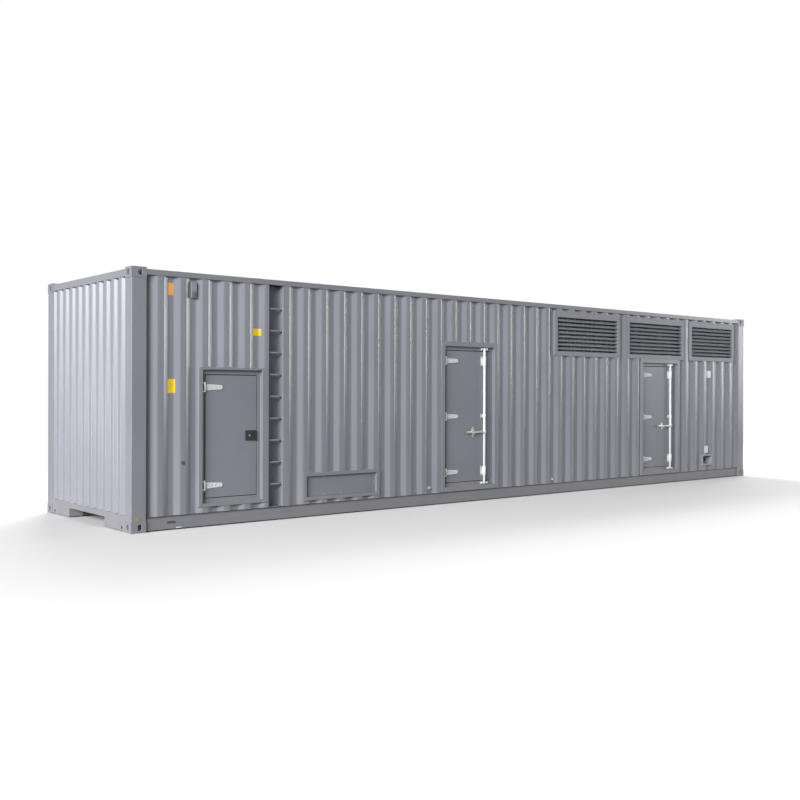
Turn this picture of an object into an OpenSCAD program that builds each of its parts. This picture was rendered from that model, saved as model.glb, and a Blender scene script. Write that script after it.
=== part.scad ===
// Forty-foot high-cube steel container fitted out as the housing of a generating set.
// Millimetres. X runs along the length from the tunnel end, -Y is the service side, Z is up.
// The origin is the middle of the base, level with the undersides of the corner castings.

/* [Container] */
// Length over the corner castings
container_l = 12192; // [11600:1:13000]
// Width over the corner castings
container_w = 2438; // [2300:1:2600]
// Height over the corner castings
container_h = 2896; // [2800:1:3000]

/* [Corner castings] */
// Casting length, along the container
casting_l = 178; // [168:1:190]
// Casting width, across the container
casting_w = 162; // [154:1:176]
// Casting height
casting_h = 118; // [110:1:126]
// Wall of the hollow casting
casting_wall = 28; // [20:1:32]
// Length of the twist-lock slot
lock_slot_l = 124; // [110:1:130]
// Width of the twist-lock slot
lock_slot_w = 63.5; // [56:0.5:70]
// End face of the container to the middle of the slot
lock_from_end = 103.5; // [98:0.5:106]
// Side face of the container to the middle of the slot
lock_from_side = 89.5; // [80:0.5:94]
// Width of the lashing holes in the side and end faces
lash_hole_w = 51; // [40:1:56]
// Height of the lashing holes in the side and end faces
lash_hole_h = 70; // [56:1:76]

/* [Steel frame] */
// How far posts, top rails and sills stand behind the faces of the castings
frame_inset = 4; // [2:0.5:6]
// Plate of the corner posts
post_t = 6; // [4:0.5:10]
// Height of the top side rail
top_rail_h = 62; // [50:1:76]
// Depth of the top side rail
top_rail_w = 60; // [50:1:76]
// Wall of the top side rail and the end headers
top_rail_t = 4; // [3:0.5:6]
// Top of the top side rail below the top of the castings
top_rail_drop = 19; // [17:1:26]
// Height of the bottom side rail
bottom_rail_h = 150; // [140:1:162]
// Bottom side rail behind the faces of the castings
bottom_rail_inset = 22; // [12:1:28]
// Flange width of the bottom side rail
bottom_rail_w = 48; // [44:1:56]
// Plate of the bottom side rail
bottom_rail_t = 4.5; // [3:0.5:6]
// Underside of rails and sills above the ground
base_lift = 14; // [11:1:18]
// Height of the end headers
header_h = 80; // [68:1:90]
// Depth of the end headers
header_l = 60; // [52:1:80]
// Height of the end sills
sill_h = 171; // [160:1:186]
// Plate of the end sills
sill_t = 6; // [4:0.5:10]
// Square pocket in the front sill beside each casting
sill_pocket = 30; // [20:1:40]
// Middle of the pocket from the inner face of the casting
pocket_from_casting = 82; // [60:1:120]
// Middle of the pocket above the ground
pocket_z = 46; // [40:1:60]

/* [Floor] */
// Top of the floor above the ground
floor_z = 156; // [150:1:158]
// Thickness of the floor
floor_t = 28; // [18:1:32]
// Flange width of the cross members
cross_w = 45; // [35:1:60]
// Plate of the cross members
cross_t = 4; // [3:0.5:6]
// Underside of the cross members above the ground
cross_lift = 20; // [19:1:26]
// Pitch of the cross members
cross_pitch = 400; // [300:1:600]
// Clear width of the gooseneck tunnel
tunnel_w = 1029; // [980:1:1080]
// Length of the gooseneck tunnel from the end face
tunnel_l = 3150; // [2900:1:3300]
// Plate of the gooseneck tunnel
tunnel_t = 8; // [6:0.5:10]

/* [Sheeting] */
// Sheet of the walls and the roof
sheet_t = 2; // [1.6:0.1:4]
// Outermost folds of the walls behind the faces of the castings
wall_inset = 10; // [9:0.5:14]
// Pitch of the side wall folds
side_pitch = 278; // [250:1:300]
// Outer flat of a side wall fold
side_flat = 72; // [60:1:84]
// Slope of a side wall fold, along the wall
side_slope = 68; // [50:1:76]
// Depth of the side wall folds
side_depth = 36; // [30:1:40]
// Middle of the first outer flat from the end face
side_first = 71; // [40:1:100]
// Pitch of the end wall folds
end_pitch = 199; // [180:1:220]
// Outer flat of an end wall fold
end_flat = 69; // [55:1:80]
// Slope of an end wall fold, along the wall
end_slope = 35; // [25:1:42]
// Depth of the end wall folds
end_depth = 40; // [30:1:46]
// Pitch of the roof folds
roof_pitch = 209; // [190:1:230]
// Upper flat of a roof fold
roof_flat = 91; // [80:1:98]
// Slope of a roof fold, along the roof
roof_slope = 13.5; // [10:0.5:16]
// Height of the roof folds
roof_rise = 12; // [8:0.5:14]
// Edge of the roof sheet behind the faces of the castings
roof_edge = 20; // [10:1:40]
// Ends of the roof folds behind the faces of the castings
roof_border = 110; // [80:1:140]
// Run-out of a roof fold at its ends
roof_ramp = 30; // [20:1:40]

/* [Doors] */
// Left edge of the control door recess from the end face
control_x = 875; // [820:1:885]
// Width of the control door recess
control_w = 798; // [740:1:810]
// Underside of the control door recess above the ground
control_z = 266; // [240:1:300]
// Height of the control door recess
control_h = 1523; // [1300:1:1800]
// Sill bar of the control door
control_sill = 40; // [30:1:60]
// Face width of the control door's hinge jamb
control_jamb = 50; // [40:1:60]
// Face height of the control door's head
control_head = 29; // [24:1:50]
// Front service door from the middle of the wall between hatch and louvres, towards the hatch
front_door_shift = 67.5; // [0:0.5:200]
// Right edge of the rear service door recess from the far end face
rear_door_from_end = 2087; // [2000:1:2150]
// Width of the service door recesses
service_w = 970; // [880:1:1000]
// Top of the front service door recess below the top side rail
front_door_drop = 640; // [500:1:900]
// Face width of the jambs and heads of the service doors
service_frame = 65; // [50:1:75]
// Sill bar of the service doors
service_sill = 64; // [50:1:90]
// Front of the door frames behind the faces of the castings
frame_front = 8; // [5:0.5:9]
// Depth of the recess in front of the rebate
recess_d = 50; // [46:1:60]
// Width of the rebate around a leaf
rebate_w = 52; // [46:1:60]
// Thickness of the rebate
rebate_t = 25; // [15:1:30]
// Gap between a leaf and the rebate
leaf_gap = 8; // [7:0.5:10]
// Face of a leaf in front of the rebate
leaf_proud = 4; // [3:0.5:6]
// Depth of a leaf
leaf_t = 40; // [30:1:50]
// Sheet of a leaf
leaf_skin = 3; // [2:0.5:5]
// Width of the stiffeners behind a leaf
stiffener_w = 60; // [40:1:80]

/* [Hinges] */
// Hinge pin from the side of the recess
pin_from_jamb = 40; // [34:1:46]
// Hinge pin behind the faces of the castings
pin_depth = 40; // [36:1:44]
// Radius of the hinge pin
pin_r = 8; // [6:0.5:9]
// Radial clearance of pins and rods
run_gap = 0.06; // [0.03:0.01:0.1]
// Radius of the hinge knuckles
knuckle_r = 13; // [12:0.5:15]
// Height of the leaf's knuckle
knuckle_h = 76; // [60:1:84]
// Height of each fixed knuckle
lug_h = 14; // [10:1:24]
// Gap between knuckles
knuckle_gap = 1; // [0.5:0.1:2]
// Length of a hinge strap from its pin
strap_l = 240; // [180:1:280]
// Height of a strap at its tip
strap_tip_h = 50; // [40:1:60]
// Cut corners of a strap's tip
strap_corner = 14; // [8:1:18]
// Thickness of a strap
strap_t = 8; // [5:0.5:8]
// Middle of the outer hinges from the ends of the recess
hinge_from_end = 200; // [170:1:230]

/* [Lock rods] */
// Lock rod from the free side of the recess
rod_from_jamb = 195; // [180:1:215]
// Lock rod behind the faces of the castings
rod_depth = 25; // [25:0.5:26]
// Radius of a lock rod
rod_r = 17; // [14:0.5:18]
// End of a lock rod from the end of the recess
rod_end = 11; // [8:0.5:14]
// Reach of the cams from the middle of the rod
cam_reach = 28; // [24:0.5:28]
// Height of the cams
cam_h = 26; // [18:1:30]
// Thickness of the cams
cam_t = 16; // [12:1:20]
// Wall of the rod brackets around the rod
bracket_wall = 7; // [5:0.5:7.5]
// Width of a bracket's plate
bracket_w = 92; // [80:1:110]
// Plate of the rod brackets and catches
bracket_t = 7; // [6:0.5:9]
// Neck of a bracket between its plate and its collar
bracket_neck = 24; // [16:1:30]
// Height of the end brackets
bracket_h = 126; // [100:1:130]
// Height of the middle guide
guide_h = 44; // [30:1:60]
// Least room between the hub of a handle and the guide above it
guide_room = 40; // [20:1:60]
// Middle of the end brackets from the ends of the recess
bracket_from_end = 195; // [175:1:210]
// Height of the handles above the ground
handle_z = 975; // [940:1:1010]
// Length of a handle from the rod
handle_l = 350; // [300:1:400]
// Height of a handle's grip
handle_h = 30; // [24:1:36]
// Thickness of a handle bar
handle_t = 12; // [8:0.5:16]
// Height of a handle at its hub
handle_root_h = 46; // [40:1:54]
// Taper of a handle from the rod
handle_root_l = 120; // [100:1:150]
// Height of a handle between its root and its grip
handle_neck_h = 22; // [18:1:24]
// Length of a handle's grip
handle_grip_l = 95; // [80:1:110]
// Cut corners of a handle's tip
handle_tip = 8; // [4:0.5:10]
// Hub of a handle, wall around the rod
hub_wall = 8; // [6:0.5:8]
// Height of a handle hub
hub_h = 60; // [50:1:70]
// Catch from the rod
catch_from_rod = 205; // [180:1:240]
// Width of a catch
catch_w = 50; // [40:1:60]
// Height of a catch plate
catch_h = 133; // [120:1:150]
// Ledge of a catch below the handle
catch_gap = 5; // [5:0.5:8]
// Ledge thickness of a catch
catch_t = 8; // [6:0.5:12]
// Keeper lips from the middle of the rod
keeper_from_rod = 40; // [37:0.5:44]
// Flare of the keeper lips at the mouth
keeper_flare = 8; // [4:0.5:12]
// Thickness of the keeper lips
keeper_t = 8; // [6:0.5:10]
// Reach of the keeper lips in front of the rebate
keeper_reach = 44; // [30:1:48]

/* [Paddle latch] */
// Width of the latch housing
latch_w = 148; // [140:1:156]
// Height of the latch housing
latch_h = 119; // [105:1:130]
// Thickness of the latch housing
latch_t = 14; // [13:0.5:16]
// Latch housing from the free edge of the leaf
latch_from_edge = 4; // [3:0.5:12]
// Middle of the latch housing above the ground
latch_z = 1026; // [990:1:1060]
// Floor of the pocket in the housing
latch_floor = 3; // [2:0.5:4]
// Rim of the housing around the pocket
latch_rim = 20; // [16:0.5:24]
// Radius of the paddle's barrel
barrel_r = 4; // [3.5:0.1:4.5]
// Radius of the paddle's pivots
pivot_r = 3; // [2:0.1:3.2]
// Length of the paddle's pivots
pivot_l = 6; // [4:0.5:8]
// Gap around the paddle
paddle_gap = 2; // [1.5:0.5:3]
// Thickness of the paddle
paddle_t = 6; // [5:0.5:7]
// Finger room beside the paddle
finger_w = 18; // [14:1:24]

/* [Ladder] */
// Width of the ladder recess
ladder_w = 216; // [200:1:240]
// Depth of the ladder recess
ladder_d = 144; // [120:1:170]
// Plate of the ladder recess
ladder_t = 3; // [2:0.5:5]
// Left edge of the ladder recess from the control door recess
ladder_from_door = 84; // [70:1:100]
// Radius of a rung
rung_r = 12; // [9:0.5:16]
// Rungs behind the faces of the castings
rung_depth = 45; // [40:1:60]
// Lowest rung above the ground
rung_first = 434; // [400:1:480]
// Pitch of the rungs
rung_pitch = 262; // [240:1:275]
// Room between the top rung and the top side rail, at least
rung_top_gap = 150; // [100:1:200]

/* [Cable hatch] */
// Left edge of the hatch opening from the end face
hatch_x = 2314; // [2200:1:2500]
// Width of the hatch opening
hatch_w = 1107; // [1000:1:1200]
// Underside of the hatch opening above the ground
hatch_z = 248; // [240:1:300]
// Height of the hatch opening
hatch_h = 252; // [220:1:300]
// Face width of the hatch frame
hatch_frame_w = 43; // [36:1:50]
// Cover behind the front of the hatch frame
hatch_d = 44; // [40:1:50]
// Ledge behind the cover
hatch_ledge = 25; // [18:1:32]
// Plate of the ledge and the cover
hatch_t = 4; // [3:0.5:6]
// Gap around the cover
hatch_gap = 1; // [0.5:0.1:2]

/* [Louvres] */
// Right edge of the last louvre opening from the far end face
louvre_from_end = 386; // [340:1:420]
// Widths of the louvre openings, from the tunnel end
louvre_w = [1471, 1473, 1277]; // [1200:1:1500]
// Stretch of wall between the louvre openings
louvre_between = [315, 301]; // [280:1:330]
// Height of the louvre openings
louvre_h = 520; // [450:1:560]
// Top of the louvre openings below the top side rail
louvre_drop = 125; // [110:1:150]
// Strip of wall between the louvre frames and the top side rail
louvre_strip = 30; // [20:1:50]
// Face width of the louvre frames at the sides
louvre_side = 64; // [56:1:74]
// Face width of the louvre frames at the bottom
louvre_bottom = 70; // [60:1:90]
// Depth of the louvre frames
louvre_d = 62; // [54:1:80]
// Number of blades in a louvre
blade_count = 8; // [6:1:10]
// Rise of a blade
blade_rise = 32; // [26:1:38]
// Depth of a blade
blade_d = 32; // [24:1:40]
// Thickness of a blade
blade_t = 3; // [2:0.5:4]
// Outer edge of the blades behind the front of the frame
blade_inset = 6; // [3:0.5:10]

/* [Fuel box] */
// Left edge of the fuel box from the far end face
fuel_from_end = 1309; // [1250:1:1400]
// Width of the fuel box
fuel_w = 275; // [240:1:340]
// Underside of the fuel box above the ground
fuel_z = 278; // [240:1:320]
// Height of the fuel box
fuel_h = 139; // [120:1:180]
// Depth of the fuel box
fuel_d = 120; // [90:1:150]
// Plate of the fuel box
fuel_t = 3; // [2:0.5:5]
// Face width of the fuel box rim
fuel_rim = 28; // [20:1:36]
// Radius of the fuel inlet
inlet_r = 30; // [24:1:36]
// Length of the fuel inlet
inlet_l = 45; // [35:1:60]
// Radius of the fuel inlet cap
inlet_cap_r = 38; // [32:1:44]
// Thickness of the fuel inlet cap
inlet_cap_t = 18; // [12:1:24]

/* [Fittings] */
// Width of a ventilator cover
vent_w = 64; // [50:1:68]
// Height of a ventilator cover
vent_h = 185; // [150:1:200]
// Depth of a ventilator cover
vent_d = 34; // [20:1:35]
// Top of the ventilator cover below the top side rail
vent_drop = 36; // [20:1:60]
// Radius of an earthing stud
stud_r = 22; // [14:1:26]
// Face of the stud on the post behind the faces of the castings
stud_inset = 0.5; // [0.2:0.1:1]
// Length of an earthing stud
stud_l = 8; // [4:0.5:8]
// Earthing stud above the ground on the post
stud_z = 146; // [142:1:180]
// Earthing stud on the post from the end face
stud_x = 80; // [60:1:110]
// Stud on the side wall above the ground
wall_stud_z = 741; // [600:1:900]
// Width of the earthing lug on the rail
lug_w = 98; // [80:1:120]
// Height of the earthing lug
lug_plate_h = 26; // [18:1:36]
// Thickness of the earthing lug
lug_plate_t = 3; // [2:0.5:3.5]
// Earthing lug from the end face
lug_x = 439; // [400:1:480]
// Earthing lug above the ground
lug_z = 76; // [60:1:100]

/* [Hidden] */
$fn = 48;
cut = 1;
paint = [0.52, 0.53, 0.56];
dark_paint = [0.34, 0.35, 0.37];
white_paint = [0.9, 0.9, 0.91];
galvanised = [0.62, 0.63, 0.64];
black = [0.06, 0.06, 0.07];
brass = [0.75, 0.63, 0.38];
plywood = [0.45, 0.36, 0.27];

post_l = casting_l - frame_inset;
post_w = casting_w - frame_inset;
casting_in_y = container_w / 2 - casting_w;
wall_z0 = base_lift + bottom_rail_h;
rail_top = container_h - top_rail_drop;
wall_z1 = rail_top - top_rail_h;
sill_z1 = base_lift + sill_h;
header_z0 = rail_top - header_h;
cross_z1 = floor_z - floor_t;
tunnel_z = cross_z1 - tunnel_t;
side_wave = [side_pitch, side_flat, side_slope, side_depth, side_first];
end_wave = [end_pitch, end_flat, end_slope, end_depth, end_pitch / 2];
rib_base = roof_flat + 2 * roof_slope;
rib_count = floor((container_l - 2 * (casting_l + roof_edge) - rib_base) / roof_pitch) + 1;
rib_first = (container_l - (rib_count - 1) * roof_pitch) / 2;

rebate_front = frame_front + recess_d;
frame_back = rebate_front + rebate_t;
leaf_front = rebate_front - leaf_proud;
leaf_margin = rebate_w + leaf_gap;
louvre_z1 = wall_z1 - louvre_drop;
louvre_z0 = louvre_z1 - louvre_h;
louvre_foot = louvre_z0 - louvre_bottom;
louvre_top = wall_z1 - louvre_strip;
last_louvre_x = container_l - louvre_from_end - louvre_w[2];
middle_louvre_x = last_louvre_x - louvre_between[1] - louvre_w[1];
first_louvre_x = middle_louvre_x - louvre_between[0] - louvre_w[0];
louvre_x = [first_louvre_x, middle_louvre_x, last_louvre_x];
service_z = wall_z0 + service_sill;
hatch_end = hatch_x + hatch_w + hatch_frame_w;
front_door_x = (hatch_end + first_louvre_x - louvre_side - service_w) / 2 - front_door_shift;
front_door_h = wall_z1 - front_door_drop - service_z;
rear_door_x = container_l - rear_door_from_end - service_w;
rear_door_h = louvre_foot - service_frame - service_z;
fuel_x = container_l - fuel_from_end;
ladder_x = control_x + control_w + ladder_from_door;
ladder_end = ladder_x + ladder_w;
rung_count = floor((wall_z1 - rung_top_gap - rung_first) / rung_pitch) + 1;

// A door is [left edge of recess, width, underside, height, sill bar, right jamb, left jamb, head]
control = [control_x, control_w, control_z, control_h, control_sill,
    ladder_from_door, control_jamb, control_head];
front_service = [front_door_x, service_w, service_z, front_door_h, service_sill,
    service_frame, service_frame, service_frame];
rear_service = [rear_door_x, service_w, service_z, rear_door_h, service_sill,
    service_frame, service_frame, service_frame];
service_doors = [front_service, rear_service];

// Upright walls of a side, each as [start, end, foot, top]
gap_bays = [
    [louvre_x[0] + louvre_w[0] + louvre_side, louvre_x[1] - louvre_side, wall_z0, wall_z1],
    [louvre_x[1] + louvre_w[1] + louvre_side, louvre_x[2] - louvre_side, wall_z0, wall_z1],
    [louvre_x[2] + louvre_w[2] + louvre_side, container_l - casting_l, wall_z0, wall_z1]];
service_bays = concat([
    [casting_l, frame_left(control), wall_z0, wall_z1],
    [ladder_end, hatch_x - hatch_frame_w, wall_z0, wall_z1],
    [hatch_end, frame_left(front_service), wall_z0, wall_z1],
    [frame_right(front_service), louvre_x[0] - louvre_side, wall_z0, wall_z1]], gap_bays);
back_bays = concat([
    [casting_l, frame_left(front_service), wall_z0, wall_z1],
    [frame_right(front_service), louvre_x[0] - louvre_side, wall_z0, wall_z1]], gap_bays);
fuel_x0 = fuel_x - fuel_rim;
fuel_x1 = fuel_x + fuel_w + fuel_rim;
back_infill = concat(
    [[frame_left(front_service), frame_right(front_service), frame_top(front_service), wall_z1]],
    [for (i = [0 : 2])
        [louvre_x[i] - louvre_side, louvre_x[i] + louvre_w[i] + louvre_side, louvre_top, wall_z1]]);
service_infill = concat(back_infill, [
    [frame_left(control), ladder_x, frame_top(control), wall_z1],
    [frame_left(control), ladder_x, wall_z0, control_z - control_sill],
    [hatch_x - hatch_frame_w, hatch_end, hatch_z + hatch_h + hatch_frame_w, wall_z1],
    [hatch_x - hatch_frame_w, hatch_end, wall_z0, hatch_z - hatch_frame_w],
    [fuel_x0, fuel_x1, fuel_z + fuel_h + fuel_rim, louvre_foot],
    [fuel_x0, fuel_x1, wall_z0, fuel_z - fuel_rim]]);
under_near_louvres = [
    [louvre_x[0] - louvre_side, louvre_x[0] + louvre_w[0] + louvre_side, wall_z0, louvre_foot],
    [louvre_x[1] - louvre_side, frame_left(rear_service), wall_z0, louvre_foot],
    [frame_right(rear_service), louvre_x[1] + louvre_w[1] + louvre_side, wall_z0, louvre_foot]];
service_under = concat(under_near_louvres, [
    [louvre_x[2] - louvre_side, fuel_x0, wall_z0, louvre_foot],
    [fuel_x1, louvre_x[2] + louvre_w[2] + louvre_side, wall_z0, louvre_foot]]);
back_under = concat(under_near_louvres, [
    [louvre_x[2] - louvre_side, louvre_x[2] + louvre_w[2] + louvre_side, wall_z0, louvre_foot]]);

// Places

// Frame of the service side: x from the tunnel end, y as depth behind the castings, z up
module on_service_side() { translate([-container_l / 2, -container_w / 2, 0]) children(); }

module on_back_side() { mirror([0, 1, 0]) on_service_side() children(); }

// Frame of the tunnel end: x across the container, y as depth behind the castings, z up
module on_front_end() {
    translate([-container_l / 2, 0, 0]) mirror([1, 0, 0]) rotate([0, 0, 90]) children();
}

module on_rear_end() { mirror([1, 0, 0]) on_front_end() children(); }

module on_both_sides() {
    on_service_side() children();
    on_back_side() children();
}

module on_both_ends() {
    on_front_end() children();
    on_rear_end() children();
}

module at_four_corners() {
    on_service_side() children();
    on_back_side() children();
    mirror([1, 0, 0]) on_service_side() children();
    mirror([1, 0, 0]) on_back_side() children();
}

module box(low, high) { translate(low) cube(high - low); }

// Round bar whose starting line lies clear of the flats that join it
module turned_bar(r, h) { rotate([0, 0, 45]) cylinder(r = r, h = h); }

// Outline in x and z, as thick in depth as t, from depth d
module upright_plate(d, t) { translate([0, d + t, 0]) rotate([90, 0, 0]) linear_extrude(t) children(); }

// Outline in depth and z, carried along x from x0 to x1
module along_x(x0, x1) {
    translate([x0, 0, 0]) rotate([90, 0, 90]) linear_extrude(x1 - x0) children();
}

// Folded sheet

// Depth of the fold at x: a wave is [pitch, outer flat, slope, depth, middle of an outer flat]
function fold_depth(w, x) =
    let (s = x - w[4] + w[1] / 2, u = s - floor(s / w[0]) * w[0], inner = w[0] - 2 * w[2])
    u <= w[1] ? 0
    : u < w[1] + w[2] ? w[3] * (u - w[1]) / w[2]
    : u <= inner + w[2] ? w[3]
    : w[3] * (w[0] - u) / w[2];

// Bends of the fold strictly between x0 and x1, in order
function fold_bends(w, x0, x1) = [
    for (k = [floor((x0 - w[4]) / w[0]) - 1 : ceil((x1 - w[4]) / w[0]) + 1])
        for (b = [0, w[1], w[1] + w[2], w[0] - w[2]])
            let (x = k * w[0] + w[4] - w[1] / 2 + b)
                if (x > x0 + cut && x < x1 - cut) x];

function fold_line(w, x0, x1, d) = [
    for (x = concat([x0], fold_bends(w, x0, x1), [x1])) [x, d + fold_depth(w, x)]];

function reversed(list) = [for (i = [len(list) - 1 : -1 : 0]) list[i]];

// Outline whose lower half repeats its upper half
function even_outline(upper) = concat(upper, reversed([for (p = upper) [p[0], -p[1]]]));

module folded_outline(w, x0, x1, d, t) {
    polygon(concat(fold_line(w, x0, x1, d), reversed(fold_line(w, x0, x1, d + t))));
}

module wall_sheets(bays) {
    for (b = bays)
        translate([0, 0, b[2]]) linear_extrude(b[3] - b[2])
            folded_outline(side_wave, b[0], b[1], wall_inset, sheet_t);
}

// Corner castings, posts and rails

module slot(l, w) {
    square([l - w, w], center = true);
    for (s = [-1, 1]) translate([s * (l - w) / 2, 0]) circle(d = w);
}

module casting() {
    difference() {
        cube([casting_l, casting_w, casting_h]);
        box([casting_wall, casting_wall, casting_wall],
            [casting_l - casting_wall, casting_w - casting_wall, casting_h - casting_wall]);
        translate([lock_from_end, lock_from_side, -cut])
            linear_extrude(casting_wall + 2 * cut) slot(lock_slot_l, lock_slot_w);
        translate([lock_from_end, casting_wall + cut, casting_h / 2]) rotate([90, 90, 0])
            linear_extrude(casting_wall + 2 * cut) slot(lash_hole_h, lash_hole_w);
        translate([-cut, lock_from_side, casting_h / 2]) rotate([0, 90, 0])
            linear_extrude(casting_wall + 2 * cut) slot(lash_hole_h, lash_hole_w);
    }
}

module bottom_corner_castings() { color(paint) at_four_corners() casting(); }

module top_corner_castings() {
    color(paint) translate([0, 0, container_h]) mirror([0, 0, 1]) at_four_corners() casting();
}

module corner_posts() {
    color(paint) at_four_corners()
        translate([frame_inset, frame_inset, casting_h]) linear_extrude(container_h - 2 * casting_h)
            difference() {
                square([post_l, post_w]);
                translate([post_t, post_t]) square([post_l - 2 * post_t, post_w - 2 * post_t]);
            }
}

module top_side_rails() {
    color(paint) on_both_sides() along_x(casting_l, container_l - casting_l)
        difference() {
            translate([frame_inset, wall_z1]) square([top_rail_w, top_rail_h]);
            translate([frame_inset + top_rail_t, wall_z1 + top_rail_t])
                square([top_rail_w - 2 * top_rail_t, top_rail_h - 2 * top_rail_t]);
        }
}

module bottom_side_rails() {
    color(paint) on_both_sides() along_x(casting_l, container_l - casting_l)
        difference() {
            translate([bottom_rail_inset, base_lift]) square([bottom_rail_w, bottom_rail_h]);
            translate([bottom_rail_inset + bottom_rail_t, base_lift + bottom_rail_t])
                square([bottom_rail_w, bottom_rail_h - 2 * bottom_rail_t]);
        }
}

module end_headers() {
    color(paint) on_both_ends() {
        difference() {
            box([-casting_in_y, frame_inset, header_z0], [casting_in_y, frame_inset + header_l, rail_top]);
            box([-casting_in_y + top_rail_t, frame_inset + top_rail_t, header_z0 + top_rail_t],
                [casting_in_y - top_rail_t, frame_inset + header_l - top_rail_t, rail_top - top_rail_t]);
        }
        box([-casting_in_y, frame_inset, rail_top - top_rail_t], [casting_in_y, casting_l, rail_top]);
    }
}

module sill_body() { box([-casting_in_y, frame_inset, base_lift], [casting_in_y, casting_l, sill_z1]); }

module front_sill() {
    side_y = tunnel_w / 2 + tunnel_t;
    color(paint) on_front_end() difference() {
        sill_body();
        box([-tunnel_w / 2, 0, 0], [tunnel_w / 2, casting_l + cut, tunnel_z]);
        box([-casting_in_y + sill_t, frame_inset + sill_t, cross_z1],
            [casting_in_y - sill_t, casting_l - sill_t, sill_z1 - sill_t]);
        for (s = [-1, 1]) {
            mid = s * (casting_in_y + side_y) / 2;
            reach = (casting_in_y - side_y) / 2 - sill_t;
            box([mid - reach, frame_inset + sill_t, base_lift + sill_t],
                [mid + reach, casting_l - sill_t, casting_h - sill_t]);
            box([s * (casting_in_y - pocket_from_casting) - sill_pocket / 2, 0, pocket_z - sill_pocket / 2],
                [s * (casting_in_y - pocket_from_casting) + sill_pocket / 2, frame_inset + 2 * sill_t,
                    pocket_z + sill_pocket / 2]);
        }
    }
}

module rear_sill() {
    color(paint) on_rear_end() difference() {
        sill_body();
        box([-casting_in_y + sill_t, frame_inset + sill_t, base_lift + sill_t],
            [casting_in_y - sill_t, casting_l - sill_t, sill_z1 - sill_t]);
    }
}

// Floor, tunnel, roof and end walls

// Channel section open along x, carried across the container from y0 to y1 at x
module cross_channel(x, y0, y1) {
    translate([x, y1, 0]) rotate([90, 0, 0]) linear_extrude(y1 - y0) difference() {
        translate([0, cross_lift]) square([cross_w, cross_z1 - cross_lift]);
        translate([cross_t, cross_lift + cross_t]) square([cross_w, cross_z1 - cross_lift - 2 * cross_t]);
    }
}

module cross_members() {
    web_y = bottom_rail_inset + bottom_rail_t;
    count = floor((container_l - 2 * casting_l) / cross_pitch);
    first = (container_l - (count - 1) * cross_pitch - cross_w) / 2;
    color(dark_paint) on_service_side() for (i = [0 : count - 1]) {
        x = first + i * cross_pitch;
        if (x < tunnel_l + cross_w) {
            cross_channel(x, web_y, (container_w - tunnel_w) / 2 - tunnel_t);
            cross_channel(x, (container_w + tunnel_w) / 2 + tunnel_t, container_w - web_y);
        } else {
            cross_channel(x, web_y, container_w - web_y);
        }
    }
}

module gooseneck_tunnel() {
    outer = tunnel_w + 2 * tunnel_t;
    color(dark_paint) on_service_side() translate([0, container_w / 2, 0]) along_x(casting_l, tunnel_l)
        difference() {
            translate([-outer / 2, base_lift]) square([outer, cross_z1 - base_lift]);
            translate([-tunnel_w / 2, base_lift - cut]) square([tunnel_w, tunnel_z - base_lift + cut]);
        }
}

module floor_deck() {
    edge = bottom_rail_inset + bottom_rail_w;
    color(plywood) on_service_side()
        box([casting_l, edge, cross_z1], [container_l - casting_l, container_w - edge, floor_z]);
}

// What is taken off one end of all the roof's ribs to leave it sloped, from height z up
module rib_run_out(z) {
    along_x(casting_l, container_l - casting_l) translate([roof_border, z])
        polygon([[-cut, 0], [0, 0], [roof_ramp, roof_rise], [roof_ramp, roof_rise + cut],
            [-cut, roof_rise + cut]]);
}

// Ribs across the roof, from height z up
module roof_ribs(z) {
    difference() {
        for (i = [0 : rib_count - 1])
            translate([rib_first + i * roof_pitch, container_w - roof_border, z]) rotate([90, 0, 0])
                linear_extrude(container_w - 2 * roof_border)
                    polygon([[-rib_base / 2, 0], [rib_base / 2, 0], [roof_flat / 2, roof_rise],
                        [-roof_flat / 2, roof_rise]]);
        rib_run_out(z);
        translate([0, container_w, 0]) mirror([0, 1, 0]) rib_run_out(z);
    }
}

// Flat sheet with hollow ribs pressed up across it
module roof_sheet() {
    color(paint) on_service_side() difference() {
        union() {
            box([casting_l, roof_edge, rail_top],
                [container_l - casting_l, container_w - roof_edge, rail_top + sheet_t]);
            roof_ribs(rail_top + sheet_t);
        }
        roof_ribs(rail_top);
    }
}

module end_walls() {
    color(paint) on_both_ends() translate([0, 0, sill_z1]) linear_extrude(header_z0 - sill_z1)
        folded_outline(end_wave, -casting_in_y, casting_in_y, wall_inset, sheet_t);
}

// Side walls

module side_wall_bays() {
    color(paint) on_service_side() wall_sheets(service_bays);
    color(paint) on_back_side() wall_sheets(back_bays);
}

module side_wall_infill() {
    color(paint) on_service_side() wall_sheets(service_infill);
    color(paint) on_back_side() wall_sheets(back_infill);
}

module walls_under_louvres() {
    color(paint) on_service_side() wall_sheets(service_under);
    color(paint) on_back_side() wall_sheets(back_under);
}

// Louvres

module louvre(x, w) {
    gap = (louvre_h - blade_count * blade_rise) / (blade_count + 1);
    upright_plate(frame_front, louvre_d) difference() {
        translate([x - louvre_side, louvre_foot]) square([w + 2 * louvre_side, louvre_top - louvre_foot]);
        translate([x, louvre_z0]) square([w, louvre_h]);
    }
    for (i = [0 : blade_count - 1])
        translate([0, frame_front + blade_inset, louvre_z0 + gap + i * (gap + blade_rise)])
            along_x(x - cut, x + w + cut)
                polygon([[0, 0], [blade_t, 0], [blade_d, blade_rise], [blade_d - blade_t, blade_rise]]);
}

module louvres() { color(paint) on_both_sides() for (i = [0 : 2]) louvre(louvre_x[i], louvre_w[i]); }

// Doors

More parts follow.
